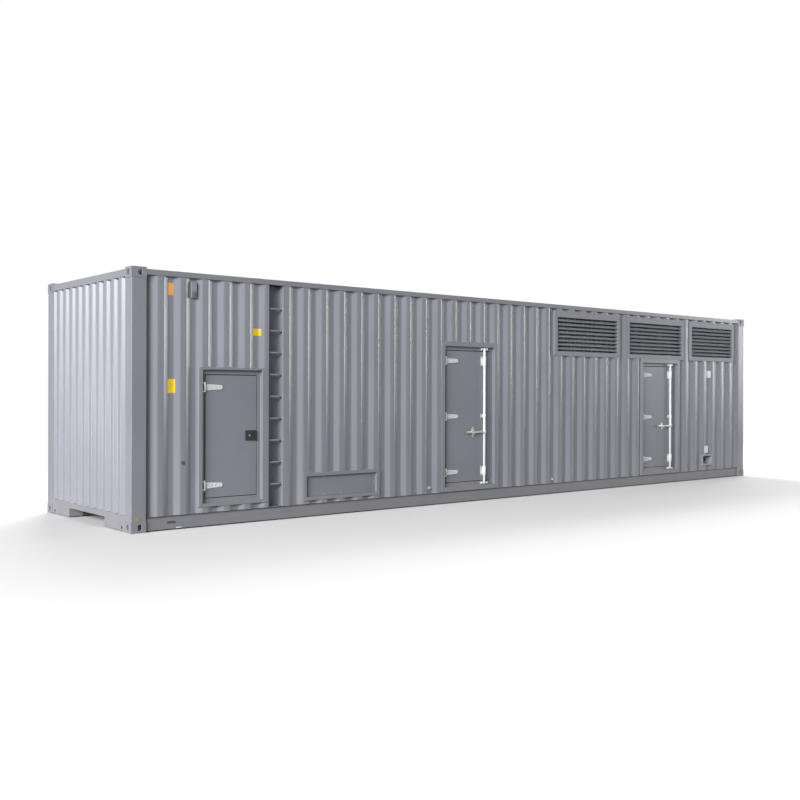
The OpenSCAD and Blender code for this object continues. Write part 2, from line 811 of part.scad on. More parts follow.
function frame_left(d) = d[0] - d[6];
function frame_right(d) = d[0] + d[1] + d[5];
function frame_top(d) = d[2] + d[3] + d[7];
function recess_right(d) = d[0] + d[1];
function recess_top(d) = d[2] + d[3];
function pin_x(d) = d[0] + pin_from_jamb;
function rod_x(d) = recess_right(d) - rod_from_jamb;
function leaf_low(d) = [d[0] + leaf_margin, leaf_front, d[2] + leaf_margin];
function leaf_high(d) = [recess_right(d) - leaf_margin, leaf_front + leaf_t, recess_top(d) - leaf_margin];
function hinge_heights(d, n) = [for (i = [0 : n - 1])
    d[2] + hinge_from_end + i * (d[3] - 2 * hinge_from_end) / (n - 1)];

// Rebated upright: front face w wide beside the recess, rebate behind it
module jamb_outline(w) {
    polygon([[-w, frame_front], [0, frame_front], [0, rebate_front], [rebate_w, rebate_front],
        [rebate_w, frame_back], [-w, frame_back]]);
}

module jambs(d) {
    foot = d[2] - d[4];
    h = frame_top(d) - foot;
    translate([d[0], 0, foot]) linear_extrude(h) jamb_outline(d[6]);
    translate([recess_right(d), 0, foot]) linear_extrude(h) mirror([1, 0]) jamb_outline(d[5]);
}

// Rebated bar between the jambs, from z0 to z1, with its rebate reaching to z2
module frame_bar(d, z0, z1, z2) {
    box([d[0], frame_front, z0], [recess_right(d), rebate_front, z1]);
    box([d[0] + rebate_w, rebate_front, min(z0, z2)], [recess_right(d) - rebate_w, frame_back, max(z1, z2)]);
}

module head_and_sill(d) {
    frame_bar(d, recess_top(d), frame_top(d), recess_top(d) - rebate_w);
    frame_bar(d, d[2] - d[4], d[2], d[2] + rebate_w);
}

module door_jambs() {
    color(paint) on_service_side() for (d = [control, front_service, rear_service]) jambs(d);
    color(paint) on_back_side() for (d = service_doors) jambs(d);
}

module door_heads_and_sills() {
    color(paint) on_service_side() for (d = [control, front_service, rear_service]) head_and_sill(d);
    color(paint) on_back_side() for (d = service_doors) head_and_sill(d);
}

// Pressed steel leaf, open at the back, with stiffeners across it
module leaf(d, stiffeners) {
    low = leaf_low(d);
    high = leaf_high(d);
    skin = [leaf_skin, leaf_skin, leaf_skin];
    difference() {
        box(low, high);
        box(low + skin, [high[0] - leaf_skin, high[1] + cut, high[2] - leaf_skin]);
    }
    for (i = [1 : stiffeners]) {
        z = low[2] + i * (high[2] - low[2]) / (stiffeners + 1);
        box([low[0] + leaf_skin / 2, low[1] + leaf_skin / 2, z - stiffener_w / 2],
            [high[0] - leaf_skin / 2, high[1] - leaf_skin, z + stiffener_w / 2]);
    }
}

// Strap with its knuckle around the pin at x, its middle at z, bored by gap over the pin
module strap(x, z, gap) {
    translate([x, 0, z]) difference() {
        union() {
            translate([0, pin_depth, -knuckle_h / 2]) turned_bar(knuckle_r, knuckle_h);
            upright_plate(leaf_front - strap_t, strap_t)
                polygon(even_outline([[0, knuckle_h / 2], [strap_l - strap_corner, strap_tip_h / 2],
                    [strap_l, strap_tip_h / 2 - strap_corner]]));
        }
        translate([0, pin_depth, -knuckle_h]) turned_bar(pin_r + gap, 2 * knuckle_h);
    }
}

// Fixed knuckles on the jamb, joined by the pin
module hinge_bracket(x, z) {
    reach = knuckle_h / 2 + knuckle_gap;
    translate([x, pin_depth, z]) {
        translate([0, 0, -reach - lug_h]) cylinder(r = pin_r, h = 2 * (reach + lug_h));
        for (s = [-1, 1]) translate([0, 0, s * (reach + lug_h / 2)]) {
            cylinder(r = knuckle_r, h = lug_h, center = true);
            translate([-pin_from_jamb, -knuckle_r, -lug_h / 2]) cube([pin_from_jamb, 2 * knuckle_r, lug_h]);
        }
    }
}

module straps(d, n, gap) { for (z = hinge_heights(d, n)) strap(pin_x(d), z, gap); }

module brackets(d, n) { for (z = hinge_heights(d, n)) hinge_bracket(pin_x(d), z); }

module hinge_brackets() {
    color(white_paint) on_service_side() brackets(control, 2);
    color(white_paint) on_both_sides() for (d = service_doors) brackets(d, 3);
}

module control_door() { color(paint) on_service_side() leaf(control, 2); }

module control_door_straps() { color(white_paint) on_service_side() straps(control, 2, run_gap); }

module front_service_door() { color(paint) on_service_side() leaf(front_service, 3); }

module front_door_straps() { color(white_paint) on_service_side() straps(front_service, 3, run_gap); }

module rear_service_door() { color(paint) on_service_side() leaf(rear_service, 3); }

module rear_door_straps() { color(white_paint) on_service_side() straps(rear_service, 3, run_gap); }

// Lock rods

// Plate on the leaf with a collar around the rod
module rod_bracket(h, bore) {
    translate([0, 0, -h / 2]) linear_extrude(h) difference() {
        union() {
            translate([0, rod_depth]) circle(r = rod_r + bracket_wall);
            translate([-bracket_w / 2, leaf_front - bracket_t]) square([bracket_w, bracket_t]);
            translate([-bracket_neck / 2, rod_depth]) square([bracket_neck, leaf_front - rod_depth]);
        }
        translate([0, rod_depth]) circle(r = bore);
    }
}

// Plate with narrowed ends, and a ledge under the handle
module handle_catch() {
    low_z = -handle_h / 2 - catch_gap - catch_t;
    translate([-catch_from_rod, 0, 0]) {
        upright_plate(leaf_front - bracket_t, bracket_t)
            polygon(even_outline([[-catch_w / 2, catch_h / 4], [-catch_w / 4, catch_h / 2],
                [catch_w / 4, catch_h / 2], [catch_w / 2, catch_h / 4]]));
        box([-catch_w / 2, rod_depth - handle_t, low_z], [catch_w / 2, leaf_front, low_z + catch_t]);
    }
}

// Height of the middle guide of a door: halfway up its recess, or clear of the handle's hub if that is higher
function guide_z(d) = max(d[2] + d[3] / 2, handle_z + hub_h / 2 + guide_room + guide_h / 2);

module rod_brackets(d, gap) {
    translate([rod_x(d), 0, 0]) {
        for (z = [d[2] + bracket_from_end, recess_top(d) - bracket_from_end])
            translate([0, 0, z]) rod_bracket(bracket_h, rod_r + gap);
        translate([0, 0, guide_z(d)]) rod_bracket(guide_h, rod_r + gap);
        translate([0, 0, handle_z]) handle_catch();
    }
}

// Bar that narrows from its hub and widens again to a grip
module handle() {
    grip = handle_l - handle_grip_l;
    upright_plate(-handle_t / 2, handle_t)
        polygon(even_outline([[0, handle_root_h / 2], [-handle_root_l, handle_neck_h / 2],
            [-grip, handle_neck_h / 2], [-grip - handle_tip, handle_h / 2],
            [-handle_l + handle_tip, handle_h / 2], [-handle_l, handle_h / 2 - handle_tip]]));
}

// Rod with a cam at each end and its handle
module lock_rod(d) {
    low = d[2] + rod_end;
    high = recess_top(d) - rod_end;
    translate([rod_x(d), rod_depth, 0]) {
        translate([0, 0, low]) cylinder(r = rod_r, h = high - low);
        for (z = [low, high - cam_h]) translate([-cam_t / 2, 0, z]) cube([cam_t, cam_reach, cam_h]);
        translate([0, 0, handle_z - hub_h / 2]) cylinder(r = rod_r + hub_wall, h = hub_h);
        translate([0, 0, handle_z]) handle();
    }
}

// Flared lips on the rebate either side of a cam
module keeper() {
    for (s = [-1, 1]) linear_extrude(cam_h)
        polygon([[s * keeper_from_rod, rebate_front], [s * (keeper_from_rod + keeper_t), rebate_front],
            [s * (keeper_from_rod + keeper_t + keeper_flare), rebate_front - keeper_reach],
            [s * (keeper_from_rod + keeper_flare), rebate_front - keeper_reach]]);
}

module keepers(d) {
    for (z = [d[2] + rod_end, recess_top(d) - rod_end - cam_h]) translate([rod_x(d), 0, z]) keeper();
}

module front_rod_brackets() { color(white_paint) on_service_side() rod_brackets(front_service, run_gap); }

module front_lock_rod() { color(white_paint) on_service_side() lock_rod(front_service); }

module rear_rod_brackets() { color(white_paint) on_service_side() rod_brackets(rear_service, run_gap); }

module rear_lock_rod() { color(white_paint) on_service_side() lock_rod(rear_service); }

module rod_keepers() {
    color(white_paint) on_both_sides() for (d = service_doors) keepers(d);
}

// Closed doors of the back side, with each rod joined to its brackets

module back_doors() { color(paint) on_back_side() for (d = service_doors) leaf(d, 3); }

module back_door_fittings() {
    color(white_paint) on_back_side() for (d = service_doors) {
        straps(d, 3, run_gap);
        lock_rod(d);
        rod_brackets(d, -cut);
    }
}

// Paddle latch

latch_x1 = leaf_high(control)[0] - latch_from_edge;
latch_x0 = latch_x1 - latch_w;
latch_front = leaf_front - latch_t;
pocket_x0 = latch_x0 + latch_rim;
pocket_x1 = latch_x1 - latch_rim;
pocket_h = latch_h - 2 * latch_rim;
barrel_x = pocket_x0 + barrel_r + paddle_gap;
barrel_depth = leaf_front - latch_floor - barrel_r - run_gap;

module latch_housing() {
    color(black) on_service_side() difference() {
        box([latch_x0, latch_front, latch_z - latch_h / 2], [latch_x1, leaf_front, latch_z + latch_h / 2]);
        box([pocket_x0, latch_front - cut, latch_z - pocket_h / 2],
            [pocket_x1, leaf_front - latch_floor, latch_z + pocket_h / 2]);
        translate([barrel_x, barrel_depth, latch_z - pocket_h / 2 - pivot_l - cut])
            cylinder(r = pivot_r + run_gap, h = pocket_h + 2 * (pivot_l + cut));
    }
}

module latch_paddle() {
    half = pocket_h / 2 - paddle_gap;
    color(black) on_service_side() {
        translate([barrel_x, barrel_depth, latch_z - half]) cylinder(r = barrel_r, h = 2 * half);
        translate([barrel_x, barrel_depth, latch_z - pocket_h / 2 - pivot_l])
            cylinder(r = pivot_r, h = pocket_h + 2 * pivot_l);
        box([barrel_x, barrel_depth - paddle_t / 2, latch_z - half],
            [pocket_x1 - finger_w, barrel_depth + paddle_t / 2, latch_z + half]);
    }
}

// Ladder, hatch, fuel box and small fittings

module ladder_recess() {
    color(paint) on_service_side() difference() {
        box([ladder_x, frame_front, wall_z0], [ladder_end, frame_front + ladder_d, wall_z1]);
        box([ladder_x + ladder_t, 0, wall_z0 + ladder_t],
            [ladder_end - ladder_t, frame_front + ladder_d - ladder_t, wall_z1 + cut]);
    }
}

module ladder_rungs() {
    color(paint) on_service_side() for (i = [0 : rung_count - 1])
        translate([ladder_x + ladder_t, rung_depth, rung_first + i * rung_pitch]) rotate([0, 90, 0])
            cylinder(r = rung_r, h = ladder_w - 2 * ladder_t);
}

module cable_hatch_frame() {
    ledge = hatch_ledge;
    color(paint) on_service_side() {
        upright_plate(frame_front, hatch_d) difference() {
            translate([hatch_x - hatch_frame_w, hatch_z - hatch_frame_w])
                square([hatch_w + 2 * hatch_frame_w, hatch_h + 2 * hatch_frame_w]);
            translate([hatch_x, hatch_z]) square([hatch_w, hatch_h]);
        }
        upright_plate(frame_front + hatch_d, hatch_t) difference() {
            translate([hatch_x - hatch_frame_w, hatch_z - hatch_frame_w])
                square([hatch_w + 2 * hatch_frame_w, hatch_h + 2 * hatch_frame_w]);
            translate([hatch_x + ledge, hatch_z + ledge]) square([hatch_w - 2 * ledge, hatch_h - 2 * ledge]);
        }
    }
}

module cable_hatch_cover() {
    color(paint) on_service_side()
        box([hatch_x + hatch_gap, frame_front + hatch_d - hatch_t, hatch_z + hatch_gap],
            [hatch_x + hatch_w - hatch_gap, frame_front + hatch_d, hatch_z + hatch_h - hatch_gap]);
}

module fuel_box() {
    color(paint) on_service_side() {
        difference() {
            box([fuel_x, frame_front, fuel_z], [fuel_x + fuel_w, frame_front + fuel_d, fuel_z + fuel_h]);
            box([fuel_x + fuel_t, 0, fuel_z + fuel_t],
                [fuel_x + fuel_w - fuel_t, frame_front + fuel_d - fuel_t, fuel_z + fuel_h - fuel_t]);
        }
        upright_plate(frame_front, louvre_d) difference() {
            translate([fuel_x0, fuel_z - fuel_rim]) square([fuel_x1 - fuel_x0, fuel_h + 2 * fuel_rim]);
            translate([fuel_x, fuel_z]) square([fuel_w, fuel_h]);
        }
    }
}

module fuel_inlet() {
    middle = [fuel_x + fuel_w / 2, frame_front + fuel_d - fuel_t, fuel_z + fuel_h / 2];
    color(dark_paint) on_service_side() translate(middle) rotate([90, 0, 0]) {
        cylinder(r = inlet_r, h = inlet_l);
        translate([0, 0, inlet_l - inlet_cap_t]) cylinder(r = inlet_cap_r, h = inlet_cap_t);
    }
}

// Cover on the third inner flat of the wall
module ventilator() {
    x = side_first + 5 * side_pitch / 2 - vent_w / 2;
    back = wall_inset + side_depth;
    top = wall_z1 - vent_drop;
    translate([x, 0, 0]) along_x(0, vent_w)
        polygon([[back, top - vent_h], [back, top], [back - vent_d / 2, top],
            [back - vent_d, top - vent_d / 2], [back - vent_d, top - vent_h]]);
}

module ventilators() { color(paint) on_both_sides() ventilator(); }

module earthing_studs() {
    color(brass) on_service_side() translate([stud_x, frame_inset, stud_z]) rotate([90, 0, 0])
        cylinder(r = stud_r, h = frame_inset - stud_inset);
    color(galvanised) on_service_side()
        box([lug_x, bottom_rail_inset - lug_plate_t, lug_z],
            [lug_x + lug_w, bottom_rail_inset, lug_z + lug_plate_h]);
    color(galvanised) on_service_side()
        translate([side_first + 2 * side_pitch, wall_inset, wall_stud_z]) rotate([90, 0, 0])
            cylinder(r = stud_r, h = stud_l);
}

bottom_corner_castings();
top_corner_castings();
corner_posts();
top_side_rails();
bottom_side_rails();
end_headers();
front_sill();
rear_sill();
cross_members();
gooseneck_tunnel();
floor_deck();
roof_sheet();
end_walls();
side_wall_bays();
side_wall_infill();
walls_under_louvres();
louvres();
door_jambs();
door_heads_and_sills();
hinge_brackets();
rod_keepers();
control_door();
control_door_straps();
latch_housing();
latch_paddle();
front_service_door();
front_door_straps();
front_rod_brackets();
front_lock_rod();
rear_service_door();
rear_door_straps();
rear_rod_brackets();
rear_lock_rod();
back_doors();
back_door_fittings();
ladder_recess();
ladder_rungs();
cable_hatch_frame();
cable_hatch_cover();
fuel_box();
fuel_inlet();
ventilators();
earthing_studs();
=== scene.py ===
"""Dresses the containerized generator set: folded sheets, welds, fasteners, seals, plates, paint and stage."""
import math

import bpy
import numpy as np
from mathutils import Euler, Matrix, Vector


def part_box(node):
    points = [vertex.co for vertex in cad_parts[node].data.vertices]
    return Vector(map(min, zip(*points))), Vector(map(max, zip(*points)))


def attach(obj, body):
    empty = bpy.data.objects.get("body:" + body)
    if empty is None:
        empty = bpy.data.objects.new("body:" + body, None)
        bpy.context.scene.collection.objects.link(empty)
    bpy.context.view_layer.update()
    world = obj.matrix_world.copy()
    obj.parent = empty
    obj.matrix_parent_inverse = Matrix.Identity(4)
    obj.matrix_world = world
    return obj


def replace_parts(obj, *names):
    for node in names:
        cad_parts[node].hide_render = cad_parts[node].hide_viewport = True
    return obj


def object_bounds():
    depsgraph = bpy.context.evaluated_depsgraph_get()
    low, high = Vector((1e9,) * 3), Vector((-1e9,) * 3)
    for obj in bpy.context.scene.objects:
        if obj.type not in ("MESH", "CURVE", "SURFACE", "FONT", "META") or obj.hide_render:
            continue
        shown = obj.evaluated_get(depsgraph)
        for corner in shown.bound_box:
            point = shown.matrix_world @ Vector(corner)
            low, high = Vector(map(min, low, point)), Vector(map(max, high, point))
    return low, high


bl_info = {
    "name": "Generator Container Dressing",
    "version": (1, 0, 0),
    "blender": (4, 5, 0),
    "location": "View3D > Sidebar > Container",
    "description": "Adds folded sheets, welds, fasteners, seals and paint to a generator container",
    "category": "Object",
}

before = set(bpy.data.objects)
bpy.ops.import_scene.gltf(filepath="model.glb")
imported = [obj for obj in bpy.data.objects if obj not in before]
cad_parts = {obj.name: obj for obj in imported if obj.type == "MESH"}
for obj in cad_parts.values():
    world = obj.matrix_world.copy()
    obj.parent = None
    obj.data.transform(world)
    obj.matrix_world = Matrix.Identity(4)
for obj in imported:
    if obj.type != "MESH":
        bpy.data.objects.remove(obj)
CAD_LOW, CAD_HIGH = [tuple(corner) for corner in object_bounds()]
END_X = CAD_LOW[0]
HALF_WIDTH = CAD_HIGH[1]

SERVICE_DOORS = ("front", "rear")
SHEET_NODES = ("side_wall_bays", "side_wall_infill", "walls_under_louvres")
OUT = {"-y": (0.0, -1.0, 0.0), "-x": (-1.0, 0.0, 0.0), "+x": (1.0, 0.0, 0.0),
       "+z": (0.0, 0.0, 1.0), "-z": (0.0, 0.0, -1.0)}


def length(name, description, default):
    """A length that a user may change."""
    return bpy.props.FloatProperty(
        name=name, description=description, default=default, unit="LENGTH", precision=4)


def number(name, description, default, subtype="NONE"):
    """A level, a focal length or an angle that a user may change."""
    return bpy.props.FloatProperty(name=name, description=description, default=default, subtype=subtype)


def fold_sizes(name, description, default):
    """Pitch, outer flat, slope, depth and middle of the first outer flat of a folded sheet."""
    return bpy.props.FloatVectorProperty(
        name=name, description=description, default=default, size=5, unit="LENGTH", precision=4)


def colour(name, description, default):
    """A colour that a user may change."""
    return bpy.props.FloatVectorProperty(
        name=name, description=description, default=default, subtype="COLOR", min=0.0, max=1.0)


class SheetSettings(bpy.types.PropertyGroup):
    """Folds of the walls and the roof, the same as those of the solids they stand for."""
    thickness: length("Sheet", "Thickness of the sheets", 0.002)
    wall_inset: length("Wall inset", "Outermost folds behind the castings", 0.010)
    side_fold: fold_sizes("Side fold", "Folds of the side walls", (0.278, 0.072, 0.068, 0.036, 0.071))
    end_fold: fold_sizes("End fold", "Folds of the end walls", (0.199, 0.069, 0.035, 0.040, 0.0995))
    roof_fold: fold_sizes("Roof rib", "Ribs of the roof, about its middle", (0.209, 0.091, 0.0135, 0.012, 0.0))
    bend: length("Bend", "Half length of a rounded bend in a wall", 0.010)
    roof_bend: length("Roof bend", "Half length of a rounded bend in the roof", 0.005)
    roof_margin: length("Roof margin", "Flat edge of the roof beside its ribs", 0.090)
    roof_lap: length("Roof lap", "How far the roof laps over the headers", 0.012)
    roof_edge: length("Roof edge", "Least room between the last rib and the end of the roof", 0.020)
    roof_ramp: length("Roof ramp", "Run-out of a rib at its end", 0.030)
    dent: length("Dents", "How far a flat wanders from true", 0.0008)
    bead: length("Bead", "Radius of the weld beads", 0.004)


class FittingSettings(bpy.types.PropertyGroup):
    """Sizes of fasteners, seals, screens and other small pieces."""
    knuckle: length("Knuckle", "Radius of the hinge knuckles", 0.013)
    strap_plate: length("Strap plate", "Thickness of the hinge straps", 0.008)
    bracket_plate: length("Bracket plate", "Thickness of the rod brackets and catches", 0.007)
    bolt: length("Bolt", "Radius of the bolt heads on the brackets", 0.008)
    rivet: length("Rivet", "Radius of the rivet heads on the straps", 0.008)
    screw: length("Screw", "Radius of the screw heads on the hatch", 0.007)
    leaf_gap: length("Leaf gap", "Gap between a leaf and its rebate", 0.008)
    seal: length("Seal", "Width of the door seals", 0.0045)
    mastic: length("Mastic", "Radius of the bead along the floor's edges", 0.011)
    louvre_side: length("Louvre side", "Face width of a louvre frame at its sides", 0.064)
    louvre_foot: length("Louvre foot", "Face height of a louvre frame below its opening", 0.070)
    louvre_head: length("Louvre head", "Face height of a louvre frame above its opening", 0.095)
    screen_pitch: length("Screen pitch", "Spacing of the wires behind the louvres", 0.032)
    screen_wire: length("Screen wire", "Thickness of the wires behind the louvres", 0.0024)


class PaintSettings(bpy.types.PropertyGroup):
    """Colours of the finishes."""
    grey: colour("Grey", "Paint of the container", (0.226, 0.234, 0.268))
    white: colour("White", "Paint of the door fittings", (0.72, 0.725, 0.73))
    zinc: colour("Zinc", "Plating of handles and catches", (0.72, 0.73, 0.70))
    strap: colour("Strap", "Galvanized hinge straps", (0.56, 0.57, 0.59))
    brass: colour("Brass", "Earthing stud on the post", (0.66, 0.50, 0.24))
    under: colour("Underframe", "Paint below the floor", (0.045, 0.046, 0.05))
    dust: colour("Dust", "Dust near the ground", (0.33, 0.30, 0.265))
    rust: colour("Rust", "Rust in chips", (0.16, 0.065, 0.03))
    yellow: colour("Yellow", "Yellow plates", (0.80, 0.56, 0.03))
    orange: colour("Orange", "Orange plate", (0.78, 0.40, 0.12))


class StageSettings(bpy.types.PropertyGroup):
    """Level of the light and the place of the camera."""
    sky: number("Sky", "Strength of the even sky", 0.09)
    floor_grey: number("Floor", "Brightness of the floor", 0.90)
    lens: number("Lens", "Focal length, millimetres", 44.16)
    place: bpy.props.FloatVectorProperty(
        name="Camera", description="Place of the camera", default=(-10.7121, -11.0746, 1.5436), unit="LENGTH")
    yaw: number("Yaw", "Heading from +X", 0.89345, "ANGLE")
    pitch: number("Pitch", "Tilt upwards", -0.00029, "ANGLE")
    roll: number("Roll", "Turn about the view", 0.00255, "ANGLE")
    shift: bpy.props.FloatVectorProperty(
        name="Shift", description="Offset of the picture's centre", default=(0.0365, -0.0101), size=2)


# Reading the frame


def solid_boxes(node_name):
    """Lowest and highest corner of each separate solid of a CAD node, sorted along the container."""
    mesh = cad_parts[node_name].data
    points = np.empty(len(mesh.vertices) * 3)
    mesh.vertices.foreach_get("co", points)
    mesh.calc_loop_triangles()
    corners = np.empty(len(mesh.loop_triangles) * 3, int)
    mesh.loop_triangles.foreach_get("vertices", corners)
    keys, merged = np.unique(np.round(points.reshape(-1, 3), 5), axis=0, return_inverse=True)
    triangles = merged.ravel()[corners].reshape(-1, 3)
    label = np.arange(len(keys))
    while True:
        lowest = label[triangles].min(axis=1)
        fresh = label.copy()
        np.minimum.at(fresh, triangles.ravel(), np.repeat(lowest, 3))
        fresh = fresh[fresh]
        if np.array_equal(fresh, label):
            break
        label = fresh
    boxes = [(keys[label == k].min(axis=0), keys[label == k].max(axis=0)) for k in np.unique(label)]
    return sorted(boxes, key=lambda box: tuple(box[0]))


def service_boxes(node_name):
    """Those solids of a node whose middle is on the side with the doors."""
    return [box for box in solid_boxes(node_name) if box[0][1] + box[1][1] < 0]


def sheet_boxes(reader):
    """Solids of all the side sheets, found by solid_boxes or service_boxes."""
    return [box for name in SHEET_NODES for box in reader(name)]


# Building meshes


def grid_points(x, y, z):
    """Points whose three coordinates are spread over the grid that they make together."""
    return np.stack(np.broadcast_arrays(x, y, z), axis=-1)


def grid_faces(rows, columns, offset=0, close_rows=False, close_columns=False):
    """Quads between the neighbours of a grid of rows by columns, closed to a ring either way if asked."""
    i, j = np.meshgrid(
        np.arange(rows if close_rows else rows - 1),
        np.arange(columns if close_columns else columns - 1), indexing="ij")
    row, next_row = i * columns, (i + 1) % rows * columns
    beside = (j + 1) % columns
    quads = np.stack([row + j, row + beside, next_row + beside, next_row + j], axis=-1)
    return quads.reshape(-1, 4) + offset


def facing_out(points, faces):
    """The mesh with its faces turned round if the volume that they enclose comes out negative."""
    a, b, c, d = (points[faces[:, k]] - points.mean(axis=0) for k in range(4))
    volume = np.sum(a * np.cross(b, c)) + np.sum(a * np.cross(c, d))
    return points, (faces[:, ::-1] if volume < 0 else faces)


def shell(front, back):
    """Closed shell between two like grids: the front, the back turned round, and a strip along each edge."""
    rows, columns = front.shape[:2]
    count = rows * columns
    index = np.arange(count).reshape(rows, columns)
    edge = np.concatenate([index[0, :-1], index[:-1, -1], index[-1, :0:-1], index[:0:-1, 0]])
    following = np.roll(edge, -1)
    rim = np.stack([following, edge, edge + count, following + count], axis=-1)
    faces = np.concatenate([grid_faces(rows, columns), grid_faces(rows, columns, count)[:, ::-1], rim])
    return facing_out(np.concatenate([front.reshape(-1, 3), back.reshape(-1, 3)]), faces)


def swept(rings):
    """Closed bar through rings of an even number of points, with a fan of quads over each end."""
    rows, columns = rings.shape[:2]
    steps = np.arange(1, columns - 2, 2)
    fan = np.stack([np.zeros_like(steps), steps, steps + 1, steps + 2], axis=-1)
    faces = np.concatenate([
        grid_faces(rows, columns, close_columns=True), fan[:, ::-1], fan + (rows - 1) * columns])
    return facing_out(rings.reshape(-1, 3), faces)


def turned(profile, segments):
    """Lathe about Z: each point of the profile is a radius and a height, and the ends are closed."""
    angle = np.linspace(0, 2 * math.pi, segments, endpoint=False)
    radius, height = np.asarray(profile, float).T
    x, y = radius[:, None] * np.cos(angle), radius[:, None] * np.sin(angle)
    return swept(grid_points(x, y, height[:, None]))


def rounded_bar(low, high, chamfer):
    """Bar from low to high: an octagon carried along the longest side and drawn in at its ends."""
    low, high = np.asarray(low, float), np.asarray(high, float)
    half = (high - low) / 2
    along = int(np.argmax(half))
    across, up = [axis for axis in range(3) if axis != along]
    signs = np.array([[1, 1], [1, 1], [-1, 1], [-1, 1], [-1, -1], [-1, -1], [1, -1], [1, -1]])
    cuts = np.array([[0, 1], [1, 0], [1, 0], [0, 1], [0, 1], [1, 0], [1, 0], [0, 1]])
    outline = signs * (half[[across, up]] - cuts * chamfer)
    places = np.array([-half[along], chamfer - half[along], half[along] - chamfer, half[along]])
    drawn_in = np.array([chamfer, 0, 0, chamfer]) / 2
    rings = np.empty((4, 8, 3))
    rings[:, :, along] = places[:, None]
    rings[:, :, [across, up]] = outline - signs * drawn_in[:, None, None]
    return swept(rings + (low + high) / 2)


def ridge(path, out, half_width, height):
    """Half-round ridge along a path on a flat face: an arch across the path, raised outwards."""
    along = np.gradient(path, axis=0)
    along /= np.linalg.norm(along, axis=1, keepdims=True)
    side = np.cross(along, out)
    angle = np.linspace(0, math.pi, 8)
    arch = half_width * np.cos(angle)[None, :, None] * side[:, None, :]
    lift = height * np.sin(angle)[None, :, None] * np.asarray(out, float)
    return swept(path[:, None, :] + arch + lift)


def weld_bead(path, first, second, radius):
    """Fillet along a path: a quarter round from one direction to the other, swelling in ripples."""
    first, second = np.asarray(first, float), np.asarray(second, float)
    angle = np.linspace(0, math.pi / 2, 5)[:, None]
    arc = np.cos(angle) * first + np.sin(angle) * second
    profile = np.concatenate([np.zeros((1, 3)), arc])
    swell, turn = 0.16, 2.4
    ripple = radius * (1 + swell * np.sin(np.arange(len(path)) * turn))
    return swept(path[:, None, :] + profile[None] * ripple[:, None, None])


def straight(start, end, spacing=0.03):
    """Points from start to end, about as far apart as the spacing."""
    start, end = np.asarray(start, float), np.asarray(end, float)
    count = max(4, int(np.linalg.norm(end - start) / spacing))
    return start + np.linspace(0, 1, count)[:, None] * (end - start)


def frame_ring(low, high, profile):
    """Mitred ring around a rectangle in X and Z: each point of the profile is a distance inward and a Y."""
    corners = np.array([[low[0], low[1]], [high[0], low[1]], [high[0], high[1]], [low[0], high[1]]])
    inward = np.array([[1, 1], [-1, 1], [-1, -1], [1, -1]])
    inset, depth = np.asarray(profile, float).T
    x = corners[:, :1] + inward[:, :1] * inset
    z = corners[:, 1:] + inward[:, 1:] * inset
    faces = grid_faces(4, len(inset), close_rows=True, close_columns=True)
    return facing_out(grid_points(x, depth, z).reshape(-1, 3), faces)


def copies(part, out, places):
    """The same part, made about Z, stood on each place facing outwards, as one mesh."""
    points, faces = part
    out = np.asarray(out, float)
    side = np.array([1.0, 0.0, 0.0]) if abs(out[0]) < 0.5 else np.array([0.0, 1.0, 0.0])
    turn = np.stack([side, np.cross(out, side), out], axis=1)
    places = np.asarray(places, float).reshape(-1, 3)
    placed = (points @ turn.T)[None] + places[:, None, :]
    shifted = faces[None] + (np.arange(len(places)) * len(points))[:, None, None]
    return placed.reshape(-1, 3), shifted.reshape(-1, 4)


def joined(parts):
    """Several meshes of quads as one."""
    offsets = np.cumsum([0] + [len(points) for points, _ in parts[:-1]])
    points = np.concatenate([points for points, _ in parts])
    return points, np.concatenate([faces + offset for (_, faces), offset in zip(parts, offsets)])


def mirrored(part, axis):
    """The part on the other side of the container's middle, with its faces turned to point outwards again."""
    points, faces = part
    sign = np.ones(3)
    sign[axis] = -1
    return points * sign, faces[:, ::-1]


def on_own_side(part, box, axis):
    """The part as made, or mirrored where the solid that it stands for is past the container's middle."""
    return part if box[0][axis] < 0 else mirrored(part, axis)


def on_both_sides(part):
    """The part on the service side and on the back."""
    return joined([part, mirrored(part, 1)])


def on_four_corners(part):
    """The part on both sides of both ends."""
    return on_both_sides(joined([part, mirrored(part, 0)]))


def add_piece(name, part, finish, body="container", smooth_angle=40):
    """Makes an object of a mesh of quads, smooth except over sharp edges, that rides on a body."""
    points, faces = part
    mesh = bpy.data.meshes.new(name)
    mesh.vertices.add(len(points))
    mesh.vertices.foreach_set("co", np.asarray(points, np.float32).ravel())
    mesh.loops.add(faces.size)
    mesh.loops.foreach_set("vertex_index", np.asarray(faces, np.int32).ravel())
    mesh.polygons.add(len(faces))
    mesh.polygons.foreach_set("loop_start", np.arange(0, faces.size, 4, dtype=np.int32))
    mesh.update(calc_edges=True)
    if mesh.validate():
        raise RuntimeError(f"{name} has faces that do not hold together")
    mesh.polygons.foreach_set("use_smooth", np.ones(len(faces), bool))
    mesh.set_sharp_from_angle(angle=math.radians(smooth_angle))
    piece = bpy.data.objects.new(name, mesh)
    bpy.context.scene.collection.objects.link(piece)
    mesh.materials.append(bpy.data.materials[finish])
    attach(piece, body)
    return piece


# Folded sheets


def fold_depth(x, fold):
    """Trapezoid wave: 0 on the outer flats, the full depth on the inner ones, straight slopes between."""
    pitch, flat, slope, depth, first = fold
    along = np.mod(x - first + flat / 2, pitch)
    return depth * np.clip(np.minimum(along - flat, pitch - along) / slope, 0, 1)


def rounded_fold(x, fold, bend):
    """The wave averaged over a short stretch, which makes each sharp bend a curve of that length."""
    stretch = np.linspace(-bend, bend, 13)
    return fold_depth(x[:, None] + stretch, fold).mean(axis=1)


